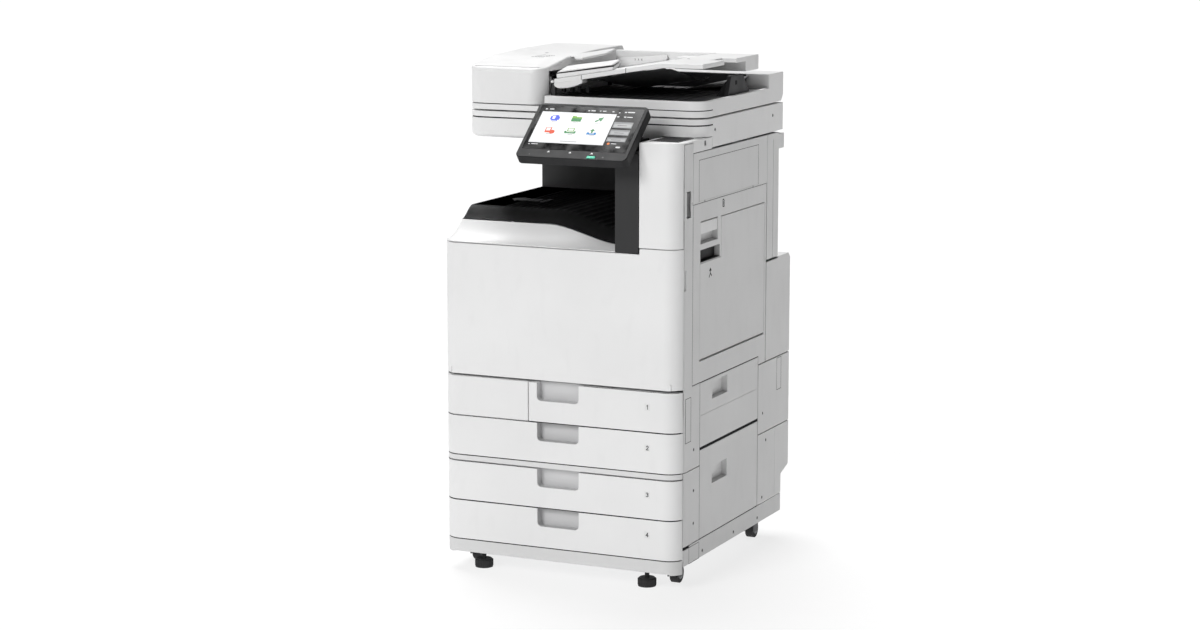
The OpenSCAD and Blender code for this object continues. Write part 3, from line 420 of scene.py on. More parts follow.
WHITE = Plastic("cover plastic", (0.79, 0.79, 0.79), 0.4)
# A darker copy of the cover white for the side covers: painted shade on the sides.
WHITE_SIDE_SHADE = Plastic("side cover plastic in painted shade", (0.70, 0.70, 0.70), 0.45)
# A darker copy of the cover white for the plinth: painted shade near the floor.
PLINTH_SHADE = Plastic("plinth plastic in painted shade", (0.66, 0.66, 0.66), 0.45)
# Grey for the insides of the drawer pockets: painted shade in the recesses.
POCKET_SHADE = Plastic("pocket painted shade", (0.60, 0.60, 0.605), 0.5)
CAVITY = Plastic("cavity plastic", (0.020, 0.020, 0.021), 0.5, 1100, 0.00004, 0.08, 0.0, 0.4)
POST = Plastic("post plastic", (0.028, 0.028, 0.029), 0.5, 1100, 0.00004, 0.06, 0.0, 0.4)
TRAY = Plastic("tray plastic", (0.016, 0.016, 0.017), 0.5, 1300, 0.00004, 0.1, 0.0, 0.22)
TRAY_LIP = Plastic("tray lip plastic", (0.026, 0.026, 0.028), 0.5, 1300, 0.00003, 0.08, 0.0, 0.25)
UNDERSIDE = Plastic("underside plastic", (0.22, 0.22, 0.225), 0.5, 1200, 0.00004, 0.06, 0.0, 0.4)
BEZEL = Plastic("panel plastic", (0.008, 0.008, 0.009), 0.5, 1500, 0.00002, 0.08, 0.0, 0.25)
RIM = Plastic("panel rim plastic", (0.045, 0.045, 0.048), 0.35, 1500, 0.00002, 0.08)
SCREEN = Plastic("screen glass", (0.003, 0.003, 0.0035), 0.1, 400, 0.0, 0.2, 0.0, 0.3)
KEY = Plastic("key plastic", (0.06, 0.62, 0.40), 0.35, 1500, 0.00001, 0.05)
LEVER = Plastic("lever plastic", (0.74, 0.74, 0.74), 0.38)
CASSETTE = Plastic("cassette plastic", (0.14, 0.145, 0.155), 0.5, 1100, 0.00004, 0.06)
INK = Plastic("marking ink", (0.04, 0.04, 0.043), 0.7, 1500, 0.000005, 0.15, 0.0, 0.2)
PALE_INK = Plastic("pale marking ink", (0.33, 0.33, 0.34), 0.6, 1500, 0.000005, 0.1)
# Near black for the insides of seams, grooves and slots: painted shade between parts.
GAP_SHADE = Plastic("painted gap shade", (0.016, 0.016, 0.017), 0.8, 1500, 0.00001, 0.1, 0.0, 0.1)
CARRIAGE = Plastic("carriage plastic", (0.03, 0.03, 0.032), 0.55, 1200, 0.00004, 0.08)
SWITCH = Plastic("switch plastic", (0.013, 0.013, 0.014), 0.3, 1500, 0.00001, 0.12)
UNIT = Plastic("laser unit plastic", (0.085, 0.09, 0.1), 0.5, 1000, 0.00004, 0.06)
BOTTLE = Plastic("toner bottle plastic", (0.06, 0.065, 0.075), 0.35, 1200, 0.00002, 0.08)
PAPER_PAD = Rubber("white backing foam", (0.82, 0.82, 0.80), 0.85, 700, 0.00006)
STEEL = Metal("zinc plated steel", (0.62, 0.63, 0.65), 0.38, (1, 1, 0.2), 120)
SCREW_STEEL = Metal("screw steel", (0.07, 0.07, 0.075), 0.4, (1, 1, 1), 500)
SHAFT = Metal("ground shaft steel", (0.70, 0.71, 0.72), 0.22, (1, 0.05, 1), 300)
FORK = Metal("caster steel", (0.10, 0.10, 0.105), 0.5, (1, 1, 1), 200, 0.6)
COPPER = Metal("copper terminal", (0.82, 0.55, 0.32), 0.3, (1, 1, 1), 500)
TYRE = Rubber("caster tyre", (0.018, 0.018, 0.019))
FOOT = Rubber("foot rubber", (0.014, 0.014, 0.015), 0.7, 500, 0.00015)
ROLLER = Rubber("feed roller rubber", (0.025, 0.025, 0.027), 0.75, 1400, 0.00008)
FUSER = Rubber("fuser sleeve", (0.03, 0.03, 0.032), 0.45, 2200, 0.00001)
SILICONE = Rubber("pressure roller silicone", (0.42, 0.10, 0.055), 0.6, 1800, 0.00003)
DRUM = Plastic("drum coating", (0.02, 0.22, 0.20), 0.12, 300, 0.000002, 0.06, 0.5)
PLATEN = Glass("platen glass")
BOARD = Board("circuit board", (0.015, 0.10, 0.045), (0.04, 0.24, 0.10))
CHIP = Plastic("chip plastic", (0.02, 0.02, 0.022), 0.45, 900, 0.00003, 0.1)

_built: dict[str, bpy.types.Material] = {}


def material(finish: Finish) -> bpy.types.Material:
    """Gives a finish's material, made the first time it is asked for."""
    if finish.name not in _built:
        _built[finish.name] = finish.build()
    return _built[finish.name]


def dress(finish: Finish, *nodes: str) -> None:
    """Gives CAD nodes that stay in view a finish.

    Args:
        finish: The finish to use.
        *nodes: Names of the CAD nodes.
    """
    for node in nodes:
        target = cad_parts[node]
        for slot in target.material_slots:
            slot.material = material(finish)
        LOG.info("dressed %s in %s", node, finish.name)


# ---------------------------------------------------------------- shaping


def edge_has_room(edge: bmesh.types.BMEdge, need: float, limit: float) -> bool:
    """Tells whether both faces beside an edge are wide enough to round it.

    Args:
        edge: The edge.
        need: Width that the rounding takes on each face, in metres.
        limit: Angle in radians from which an edge counts as sharp.

    Returns:
        True if no other sharp edge is nearer than that on either face.
    """
    for loop in edge.link_loops:
        face = loop.face
        start, end = loop.vert.co, loop.link_loop_next.vert.co
        along = (end - start).normalized()
        inward = face.normal.cross(along)
        length = (end - start).length
        for share in (0.08, 0.5, 0.92):
            origin = start + along * length * share
            for other in face.loops:
                if other is loop:
                    continue
                a, b = other.vert.co - origin, other.link_loop_next.vert.co - origin
                ax, bx = a.dot(along), b.dot(along)
                if ax * bx > 0 or abs(ax - bx) < 1e-9:
                    continue
                ay, by = a.dot(inward), b.dot(inward)
                distance = ay - ax * (by - ay) / (bx - ax)
                if 1e-6 < distance < need:
                    near = other.edge
                    if len(near.link_faces) != 2 or near.calc_face_angle(0.0) > limit:
                        return False
    return True


class Shape:
    """One piece in the making: a bmesh in metres, in the shared frame."""

    ROUNDED = "rounded"

    def __init__(self) -> None:
        """Starts empty."""
        self.bm = bmesh.new()
        self.bm.faces.layers.int.new(self.ROUNDED)
        self.extra: list[Finish] = []

    @classmethod
    def of_node(cls, *nodes: str) -> "Shape":
        """Starts from a merged copy of CAD nodes, with flat areas as single faces."""
        shape = cls()
        for node in nodes:
            shape.bm.from_mesh(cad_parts[node].data)
        if shape.bm.faces.layers.int.get(cls.ROUNDED) is None:
            shape.bm.faces.layers.int.new(cls.ROUNDED)
        bmesh.ops.remove_doubles(shape.bm, verts=shape.bm.verts, dist=4e-6)
        bmesh.ops.dissolve_limit(
            shape.bm, angle_limit=math.radians(0.6), verts=shape.bm.verts, edges=shape.bm.edges
        )
        return shape

    def box(self, low: Point, high: Point, edge: float = 0.0, segments: int = 2) -> "Shape":
        """Adds a box between two corners of the drawing, with rounded edges."""
        lo, hi = at(*low), at(*high)
        place = Matrix.LocRotScale((lo + hi) / 2, None, hi - lo)
        made = bmesh.ops.create_cube(self.bm, size=1.0, matrix=place)
        if edge:
            self._round({e for v in made["verts"] for e in v.link_edges}, edge, segments)
        return self

    def rod(
        self,
        start: Point,
        end: Point,
        radius: float,
        edge: float = 0.0,
        sides: int = 36,
        tip: float | None = None,
    ) -> "Shape":
        """Adds a round rod between two places, with rounded rims.

        Args:
            start: Centre of one end.
            end: Centre of the other end.
            radius: Radius in millimetres.
            edge: Rounding of both rims in millimetres.
            sides: Number of flat sides.
            tip: Radius at the far end, where it differs.

        Returns:
            The shape itself.
        """
        a, b = at(*start), at(*end)
        place = Matrix.LocRotScale((a + b) / 2, (b - a).to_track_quat("Z", "Y"), None)
        made = bmesh.ops.create_cone(
            self.bm,
            cap_ends=True,
            segments=sides,
            radius1=radius * MM,
            radius2=(radius if tip is None else tip) * MM,
            depth=(b - a).length,
            matrix=place,
        )
        if edge:
            rims = {e for v in made["verts"] for e in v.link_edges if e.calc_face_angle(0) > 0.9}
            self._round(rims, edge, 2)
        return self

    def plate(
        self, outline: Sequence[Vector], thick: Vector, edge: float = 0.0, segments: int = 2
    ) -> "Shape":
        """Adds a flat outline given some thickness, with rounded edges.

        Args:
            outline: The corners in order, in metres.
            thick: The thickness as a direction, in metres.
            edge: Rounding in millimetres.
            segments: Steps of the rounding.

        Returns:
            The shape itself.
        """
        face = self.bm.faces.new([self.bm.verts.new(p) for p in outline])
        made = bmesh.ops.extrude_face_region(self.bm, geom=[face])["geom"]
        top = [g for g in made if isinstance(g, bmesh.types.BMVert)]
        bmesh.ops.translate(self.bm, verts=top, vec=thick)
        verts = {v for v in top} | set(face.verts)
        faces = {f for v in verts for f in v.link_faces}
        bmesh.ops.recalc_face_normals(self.bm, faces=list(faces))
        if edge:
            sharp = {e for v in verts for e in v.link_edges if e.calc_face_angle(0) > 0.5}
            self._round(sharp, edge, segments)
        return self

    def turned(
        self, profile: Iterable[tuple[float, float]], foot: Point, axis: Axis, sides: int = 48
    ) -> "Shape":
        """Adds a shape turned on a lathe.

        Args:
            profile: Pairs of radius and length along the axis, in millimetres.
            foot: Where the axis starts.
            axis: The axis of the lathe.
            sides: Steps round the axis.

        Returns:
            The shape itself.
        """
        origin, along = at(*foot), axis.value
        across = Axis.Z.value if axis is not Axis.Z else Axis.X.value
        verts = [self.bm.verts.new(origin + across * r * MM + along * h * MM) for r, h in profile]
        edges = [self.bm.edges.new(pair) for pair in zip(verts, verts[1:])]
        bmesh.ops.spin(
            self.bm,
            geom=verts + edges,
            cent=origin,
            axis=along,
            angle=math.tau,
            steps=sides,
            use_merge=True,
        )
        bmesh.ops.remove_doubles(self.bm, verts=self.bm.verts, dist=1e-6)
        bmesh.ops.recalc_face_normals(self.bm, faces=self.bm.faces)
        return self

    def cable(self, path: Sequence[Point], radius: float, sides: int = 10) -> "Shape":
        """Adds a round cable along the points of a path."""
        places = [at(*p) for p in path]
        rings = []
        for i, place in enumerate(places):
            along = places[min(i + 1, len(places) - 1)] - places[max(i - 1, 0)]
            turn = Matrix.LocRotScale(place, along.to_track_quat("Z", "Y"), None)
            ends = i in (0, len(places) - 1)
            made = bmesh.ops.create_circle(
                self.bm, cap_ends=ends, radius=radius * MM, segments=sides, matrix=turn
            )
            rings.append(made["verts"])
        for first, second in zip(rings, rings[1:]):
            edges = {e for v in first for e in v.link_edges if e.other_vert(v) in first}
            edges |= {e for v in second for e in v.link_edges if e.other_vert(v) in second}
            bmesh.ops.bridge_loops(self.bm, edges=list(edges))
        bmesh.ops.recalc_face_normals(self.bm, faces=self.bm.faces)
        return self

    def soften(
        self,
        width: float,
        segments: int = 2,
        angle: float = 30.0,
        where: Callable[[Vector], bool] | None = None,
    ) -> "Shape":
        """Rounds the outer sharp edges that have room for it.

        Args:
            width: Rounding in millimetres.
            segments: Steps of the rounding.
            angle: Angle in degrees from which an edge is sharp.
            where: Picks edges by their middle, in drawing millimetres.

        Returns:
            The shape itself.
        """
        limit = math.radians(angle)
        chosen = []
        for edge in self.bm.edges:
            if len(edge.link_faces) != 2 or not edge.is_convex or edge.calc_face_angle(0.0) < limit:
                continue
            middle = (edge.verts[0].co + edge.verts[1].co) / 2
            spot = Vector((middle.x / MM, (middle.y - DOOR_Y) / MM, middle.z / MM))
            if where is not None and not where(spot):
                continue
            if edge_has_room(edge, width * MM * 2.1, limit):
                chosen.append(edge)
        self._round(chosen, width, segments)
        return self

    def _round(self, edges: Iterable[bmesh.types.BMEdge], width: float, segments: int) -> None:
        """Rounds edges by a width in millimetres."""
        made = bmesh.ops.bevel(
            self.bm,
            geom=list(edges),
            offset=width * MM,
            offset_type="OFFSET",
            segments=segments,
            profile=0.5,
            affect="EDGES",
            material=-1,
            clamp_overlap=False,
        )
        layer = self.bm.faces.layers.int[self.ROUNDED]
        for face in made["faces"]:
            face[layer] = 1

    def _normals(self, limit: float) -> list[Vector]:
        """Works out a normal for each corner, in which broad faces lead and rounded edges follow.

        Args:
            limit: Angle in radians from which an edge stays crisp.

        Returns:
            The normals in the order of the faces' corners.
        """
        layer = self.bm.faces.layers.int[self.ROUNDED]
        self.bm.normal_update()
        found: dict[bmesh.types.BMLoop, Vector] = {}
        for vert in self.bm.verts:
            group = {loop.face: loop.face.index for loop in vert.link_loops}
            for edge in vert.link_edges:
                if len(edge.link_faces) == 2 and edge.calc_face_angle(math.pi) <= limit:
                    keep, drop = (group[face] for face in edge.link_faces)
                    if keep != drop:
                        group = {face: keep if g == drop else g for face, g in group.items()}
            total: dict[int, Vector] = {}
            for loop in vert.link_loops:
                weight = loop.calc_angle() * (0.001 if loop.face[layer] else 1.0)
                total.setdefault(group[loop.face], Vector())
                total[group[loop.face]] += loop.face.normal * weight
            for loop in vert.link_loops:
                found[loop] = total[group[loop.face]].normalized()
        return [found[loop] for face in self.bm.faces for loop in face.loops]

    def paint(self, finish: Finish, where: Callable[[Vector], bool]) -> "Shape":
        """Gives the faces whose middle a rule picks another finish."""
        self.extra.append(finish)
        for face in self.bm.faces:
            middle = face.calc_center_median()
            if where(Vector((middle.x / MM, (middle.y - DOOR_Y) / MM, middle.z / MM))):
                face.material_index = len(self.extra)
        return self

    def move(self, change: Callable[[Vector], Vector]) -> "Shape":
        """Moves every point by a rule on its place in drawing millimetres."""
        for vert in self.bm.verts:
            spot = Vector((vert.co.x / MM, (vert.co.y - DOOR_Y) / MM, vert.co.z / MM))
            vert.co = at(*change(spot))
        return self

    def piece(
        self,
        name: str,
        finish: Finish,
        body: str,
        slot: str,
        replaces: Sequence[str] = (),
        sharp: float = 48.0,
    ) -> bpy.types.Object:
        """Ends the shaping and makes the finished piece.

        Args:
            name: The piece's name.
            finish: What it is made of.
            body: The CAD body that carries it.
            slot: The record's material slot; not used.
            replaces: CAD nodes that it stands for.
            sharp: Angle in degrees from which edges stay crisp.

        Returns:
            The new object.
        """
        self.bm.faces.index_update()
        normals = self._normals(math.radians(sharp))
        mesh = bpy.data.meshes.new(name)
        self.bm.to_mesh(mesh)
        self.bm.free()
        mesh.attributes.remove(mesh.attributes[self.ROUNDED])
        for used in (finish, *self.extra):
            mesh.materials.append(material(used))
        mesh.shade_smooth()
        mesh.set_sharp_from_angle(angle=math.radians(sharp))
        mesh.normals_split_custom_set(normals)
        made = bpy.data.objects.new(name, mesh)
        bpy.context.scene.collection.objects.link(made)
        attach(made, body)
        if replaces:
            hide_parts(*replaces)
        LOG.info("made %s on %s", name, body)
        return made


# ---------------------------------------------------------------- lettering


# Strokes of generic marks in a field 10 wide and 14 high
GLYPHS: dict[str, tuple[tuple[tuple[float, float], ...], ...]] = {
    "1": (((2.5, 11), (5.5, 13.5), (5.5, 0.5)),),
    "2": (((1.5, 10.5), (3, 13), (6, 13.5), (8.2, 11.5), (8, 8.5), (1.5, 0.7), (8.8, 0.7)),),
    "3": (
        (
            *((1.5, 12.5), (5, 13.5), (8, 11.5), (7.5, 8.3), (4.5, 7.3)),
            *((8, 6), (8.3, 2.8), (5, 0.5), (1.3, 1.6)),
        ),
    ),
    "4": (((6.8, 0.5), (6.8, 13.3), (1, 4), (9, 4)),),
    "chevron": (((1, 13), (9, 1)), ((1, 1), (9, 13))),
    "sheet": (((2, 0.5), (2, 13), (6, 13), (8.5, 10), (8.5, 0.5), (2, 0.5)), ((4, 4), (4, 9))),
    "lift": (((1, 2), (5, 7), (9, 3)), ((5, 7), (5, 13), (2.5, 10.5)), ((5, 13), (7.5, 10.5))),
    "arrow": (((1, 1), (9, 1), (5, 8), (1, 1)),),
}


def stroke_mark(
    shape: Shape, glyph: str, corner: Vector, across: Vector, up: Vector, size: float, pen: float = 1.3
) -> None:
    """Draws a small printed mark as thin raised strokes.

    Args:
        shape: The shape that takes the strokes.
        glyph: Name of the mark.
        corner: Its lower left corner.
        across: Direction of its width.
        up: Direction of its height.
        size: Its height in millimetres.
        pen: Width of the strokes, in the field of 14.
    """
    unit = size / 14 * MM
    out = across.cross(up)
    for line in GLYPHS[glyph]:
        for (x0, y0), (x1, y1) in zip(line, line[1:]):
            a = corner + (across * x0 + up * y0) * unit
            b = corner + (across * x1 + up * y1) * unit
            along = (b - a).normalized() * pen / 2 * unit
            side = out.cross(along)
            outline = [a - along - side, b + along - side, b + along + side, a - along + side]
            shape.plate([p - out * 0.2 * MM for p in outline], out * 0.28 * MM)


# ---------------------------------------------------------------- sub-assemblies


def seam_outline(start: float, end: float, inset: float, radius: float = 38.0) -> list[Vector]:
    """Gives the outline of a strip that follows the rounded front, at floor height.

    Args:
        start: Its left end.
        end: Its right end.
        inset: How far it stays behind the covers' faces.
        radius: Radius of the body's front corners.

    Returns:
        The corners in order, in metres.
    """
    points = []
    for i in range(11):
        angle = math.radians(90 * i / 10)
        x = -HALF_W + radius - (radius - inset) * math.cos(angle)
        points.append((x, radius - (radius - inset) * math.sin(angle)))
    outer = [(x, y) for x, y in points if x > start and y < 25]
    if start > -HALF_W + radius:
        outer = [(start, inset)]
    outer += [(-x, y) for x, y in reversed(points) if -x < end and y < 25]
    inner = [(outer[-1][0] - 3, 25), (outer[0][0] + 3, 25)]
    return [at(x, y, 0) for x, y in outer + inner]


def behind_face(spot: Vector) -> float:
    """Tells how far a place lies behind the rounded front, in millimetres."""
    reach = abs(spot.x) - (HALF_W - 38)
    if reach <= 0 or spot.y > 38:
        return spot.y
    return 38 - math.hypot(reach, 38 - spot.y)


@dataclass
class Covers:
    """The fixed outer covers: CAD copies with the edges that mouldings have."""

    edge: float = 1.0
    bottom_roll: float = 12.0
    corner: float = 9.0

    def build(self) -> None:
        """Makes every fixed cover."""
        plain = (
            ("left_cover", 0.8),
            ("lower_left_cover", 0.8),
            ("rear_cover", 0.8),
            ("lower_rear_cover", 1.0),
            ("rear_box", 1.2),
            ("shoulder_cover", 0.6),
            ("upper_right_cover", 0.7),
            ("front_column", 0.7),
            ("blank_cover", 1.8),
        )
        for node, width in plain:
            # The side covers take the darker white, which is painted shade.
            finish = WHITE if node in ("blank_cover", "shoulder_cover") else WHITE_SIDE_SHADE
            Shape.of_node(node).soften(width, 3).piece(f"{node}_skin", finish, "body", "cover_white", [node])
        self.base_trim()
        self.pillar()
        self.cavity()
        self.marks()

    def base_trim(self) -> None:
        """Makes the plinth with its rolled bottom edge, in a darker white that is painted shade near the
        floor.
        """

        def bottom(spot: Vector) -> bool:
            return abs(spot.z - 37) < 1.5 and spot.y < 30

        shape = Shape.of_node("base_trim").soften(self.bottom_roll, 5, 30, bottom).soften(self.edge)
        shape.piece("base_trim_skin", PLINTH_SHADE, "body", "cover_white", ["base_trim"])

    def pillar(self) -> None:
        """Makes the tall cover right of the output space, with its dark deck pad."""

        def corner(spot: Vector) -> bool:
            return abs(spot.x - 188.5) < 1.5 and spot.z > 955 and spot.y < 60

        shape = Shape.of_node("pillar_cover").soften(self.corner, 5, 30, corner).soften(self.edge)
        shape.piece("pillar_cover_skin", WHITE, "body", "cover_white", ["pillar_cover"])
        pad = Shape().box((198, 32, 963.4), (264, 116, 964.8), 0.5)
        for step in range(5):
            pad.box((204, 44 + step * 13, 964.6), (258, 47 + step * 13, 965.4), 0.3)
        pad.piece("pillar_deck_pad", TRAY, "body", "tray_black")

    def cavity(self) -> None:
        """Makes the dark lining of the output space."""
        shape = Shape.of_node("cavity_cover").soften(0.6)
        shape.piece("cavity_lining", CAVITY, "body", "cavity_grey", ["cavity_cover"])
        slats = Shape()
        for step in range(9):
            x = 50.5 + step * 7.8
            slats.box((x, 464.6, 852), (x + 2.6, 466.2, 913), 0.3)
        slats.piece("cavity_grille_slats", POST, "body", "cavity_grey")

    def marks(self) -> None:
        """Prints the dots of the framed field and the two pictograms of the right side."""
        dots = Shape()
        for y in (134, 413):
            dots.rod((HALF_W - 0.1, y, 831), (HALF_W + 0.25, y, 831), 2.2, 0, 24)
        dots.piece("side_field_dots", PALE_INK, "body", "cover_white")
        sheet = Shape()
        stroke_mark(sheet, "sheet", at(HALF_W, 234, 806), Axis.Y.value, Axis.Z.value, 17, 2.0)
        sheet.piece("side_sheet_mark", INK, "right_door", "cover_white")
        lift = Shape()
        stroke_mark(lift, "lift", at(HALF_W, 160, 660), Axis.Y.value, Axis.Z.value, 22, 2.0)
        lift.piece("bypass_lift_mark", INK, "bypass_tray", "cover_white")
        self.seams()

    def seams(self) -> None:
        """Closes the seams of the right side with dark strips of painted shade."""
        strips = Shape()
        shallow = (279.0, 282.1)
        deep = (271.0, 274.0)
        for (x0, x1), y0, z0, y1, z1 in (
            (shallow, 70.0, 441, 71.6, 828),
            (shallow, 70.0, 828, 497, 829.5),
            (deep, 497.0, 421.5, 498.6, 829),
            (shallow, 71.5, 439, 455.5, 441),
            (shallow, 113.0, 297.5, 114.6, 439),
            (deep, 454.0, 297.5, 455.6, 421.5),
            (shallow, 113.0, 291.4, 455, 297.6),
            (shallow, 113.0, 95, 114.6, 291.5),
            (deep, 454.0, 95, 455.6, 291.5),
            (shallow, 113.0, 94, 455, 95.6),
        ):
            strips.box((x0, y0, z0), (x1, y1, z1))
        strips.piece("side_seam_strips", GAP_SHADE, "body", "cover_white")
        # Dark lines round the side's plates and recesses: painted shade in their seams.
        lines = Shape()
        for y0, z0, y1, z1 in ((34, 321, 64, 418), (56, 53, 113, 90), (572, 342, 600, 417)):
            for a0, b0, a1, b1 in (
                (y0, z0, y0 + 1, z1),
                (y1 - 1, z0, y1, z1),
                (y0, z0, y1, z0 + 1),
                (y0, z1 - 1, y1, z1),
            ):
                lines.box((281.5, a0, b0), (282.62, a1, b1))
        for y0, z0, y1, z1 in ((102, 832, 103, 921), (445, 832, 446, 921), (102, 920, 446, 921)):
            lines.box((281.5, y0, z0), (282.6, y1, z1))
        lines.piece("side_plate_outlines", GAP_SHADE, "body", "cover_white")


@dataclass
class FrontDoor:
    """The big door above the drawers."""

    edge: float = 2.0

    def build(self) -> None:
        """Makes the door."""
        shape = Shape.of_node("front_door").soften(self.edge, 4).soften(0.8)
        shape.piece("front_door_skin", WHITE, "front_door", "cover_white", ["front_door"])


@dataclass
class Drawers:
    """The four paper drawers, each with its front, tray, lift plate and guides."""

    rows: tuple[float, ...] = (347.25, 258.75, 157.5, 69.0)
    edge: float = 1.8
    pocket: tuple[float, float, float] = (-51.0, 47.0, 40.0)
    pocket_depth: float = 20.0

    def build(self) -> None:
        """Makes the drawers from the top one down."""
        for index, row in enumerate(self.rows, start=1):
            self.front(index, row)
            self.inside(index, row)

    def front(self, index: int, row: float) -> None:
        """Makes one drawer's front with its printed numeral."""
        body = f"drawer_{index}"
        top = row + (86.25 if index == 3 else 87.0)
        left, right, high = self.pocket

        def inside(spot: Vector) -> bool:
            across = left - 0.6 < spot.x < right + 0.6
            return across and 1.0 < spot.y < self.pocket_depth + 0.3 and spot.z > top - high - 0.6

        # Faces just behind the front at its top and bottom edges take painted shade of the seams.
        def seam_side(spot: Vector) -> bool:
            return 0.5 < behind_face(spot) < 1.9 and (spot.z < row + 0.6 or spot.z > top - 0.6)

        # The pocket's inside faces take the grey of painted shade.
        shape = Shape.of_node(f"cassette_front_{index}").paint(POCKET_SHADE, inside)
        shape.soften(self.edge, 4).soften(0.7).paint(GAP_SHADE, seam_side)
        shape.piece(f"drawer_front_{index}", WHITE, body, "cover_white", [f"cassette_front_{index}"])
        mark = Shape()
        stroke_mark(mark, str(index), at(206.0, 0, top - 37.5), Axis.X.value, Axis.Z.value, 9.0, 2.6)
        mark.piece(f"drawer_numeral_{index}", INK, body, "cover_white")
        plate = Shape().box((202.5, -0.06, top - 40.5), (215.5, 0.2, top - 25.5), 0.1)
        plate.piece(f"drawer_label_{index}", LEVER, body, "cover_white")
        self.gasket(index, row)

    def gasket(self, index: int, row: float) -> None:
        """Adds a dark strip of painted shade in the seam under one front."""
        shape = Shape()
        start = -71.0 if index == 1 else -282.0
        thick = Vector((0, 0, 1.4 * MM))
        shape.plate(seam_outline(start, 281.9, 0.7), thick)
        shape.move(lambda spot: Vector((spot.x, spot.y, spot.z + row - 1.45)))
        shape.piece(f"drawer_seam_shade_{index}", GAP_SHADE, f"drawer_{index}", "cover_white")

    def inside(self, index: int, row: float) -> None:
        """Makes the tray, the lift plate and the paper guides of one drawer."""
        body = f"drawer_{index}"
        tray = Shape.of_node(f"cassette_{index}").soften(0.5)
        tray.piece(f"paper_tray_{index}", CASSETTE, body, "cassette_grey", [f"cassette_{index}"])
        left = -62.0 if index == 1 else -236.0
        floor = row + 8.5
        plate = Shape().box((left + 12, 40, floor), (205, 412, floor + 1.2), 0.4)
        for y in (90, 226, 362):
            plate.box((left + 30, y - 6, floor + 1), (190, y + 6, floor + 2.2), 0.5)
        plate.piece(f"lift_plate_{index}", STEEL, body, "cassette_grey")
        guides = Shape()
        for y in (58, 392):
            guides.box((left + 60, y, floor + 1.6), (left + 150, y + 3, floor + 42), 0.8)
            guides.box((left + 60, y - 9, floor + 1.6), (left + 150, y + 12, floor + 4), 0.8)
        guides.piece(f"paper_guides_{index}", KEY, body, "cassette_grey")


@dataclass
class RightSide:
    """The doors, lever and bypass tray of the right side."""

    def build(self) -> None:
        """Makes them."""
        doors = (
            ("right_door", "right_door", 0.8),
            ("bypass_tray", "bypass_tray", 1.2),
            ("lower_right_door", "lower_right_door", 1.0),
            ("unit_right_door", "unit_right_door", 1.0),
        )
        for node, body, width in doors:
            shape = Shape.of_node(node).soften(width, 3)
            # The right side's doors take the darker white, which is painted shade.
            shape.piece(f"{node}_skin", WHITE_SIDE_SHADE, body, "cover_white", [node])
        lever = Shape.of_node("right_lever").soften(1.2, 3)
        lever.piece("right_lever_grip", LEVER, "right_lever", "lever_grey", ["right_lever"])
        # Dark plates line the bypass tray's recess: painted shade inside it.
        recess = Shape().box((268.2, 112, 700.6), (270, 220, 726.4), 0.3)
        recess.box((268.2, 111.6, 700.4), (279, 113, 726.6), 0.3)
        recess.box((268.2, 112, 700.2), (281, 220.4, 701.6), 0.3)
        recess.box((268.2, 112, 725.4), (281, 220.4, 726.8), 0.3)
        recess.piece("bypass_recess_shade", TRAY, "right_door", "cover_white")


@dataclass
class OutputTray:
    """The dark ribbed tray that catches the copies."""

    x0: float = -262.0
    x1: float = 132.5
    y0: float = 69.0
    y1: float = 465.5
    thick: float = 3.0
    rib_pitch: float = 16.0
    rib_height: float = 1.6

    def height(self, x: float, y: float) -> float:
        """Gives the height of the tray's top above the floor."""
        high = 797 - 40 * ease(x, -55, 125)
        low = 771 - 36 * ease(x, -55, 125)
        share = ease(y, 57, 114)
        return low + (high - low) * (share - 0.115 * (1 - share))

    def build(self) -> None:
        """Makes the tray with its ribs and the relief of its left part."""
        columns = [self.x0 + 1.5 + i * 6.0 for i in range(12)]
        rib = -178.0
        while rib < self.x1 - 8:
            columns += [rib - 2.6, rib - 1.2, rib + 1.2, rib + 2.6]
            rib += self.rib_pitch
        columns = sorted({round(x, 2) for x in columns if self.x0 < x < self.x1} | {self.x0, self.x1})
        rows = [self.y0 + i * 4.5 for i in range(15)] + [142 + i * 23 for i in range(14)] + [self.y1]
        shape = Shape()
        grid = []
        for y in rows:
            line = []
            for x in columns:
                phase = abs((x + 178) % self.rib_pitch)
                near = min(phase, self.rib_pitch - phase)
                on_rib = x > -182 and x < self.x1 - 6 and near < 2
                rise = self.rib_height * ease(y, 100, 122) * (1 - ease(y, 448, 458)) if on_rib else 0.0
                line.append(shape.bm.verts.new(at(x, y, self.height(x, y) + rise)))
            grid.append(line)
        for low, high in zip(grid, grid[1:]):
            for i in range(len(columns) - 1):
                shape.bm.faces.new((low[i], low[i + 1], high[i + 1], high[i]))
        bmesh.ops.solidify(shape.bm, geom=shape.bm.faces[:], thickness=self.thick * MM)
        bmesh.ops.recalc_face_normals(shape.bm, faces=shape.bm.faces)
        shape.piece("output_tray_surface", TRAY, "body", "tray_black", ["output_tray"], 60)
        relief = Shape()
        arrow = [(-222, 230), (-200, 262), (-200, 246), (-150, 246), (-150, 214), (-200, 214), (-200, 198)]
        relief.plate([at(x, y, self.height(x, y) - 0.5) for x, y in arrow], Vector((0, 0, 1.9 * MM)), 0.5)
        for y in (205, 225, 245):
            relief.box((-142, y, 796.5), (-128, y + 8, 798.6), 0.6)
        relief.piece("output_tray_relief", TRAY_LIP, "body", "tray_black")


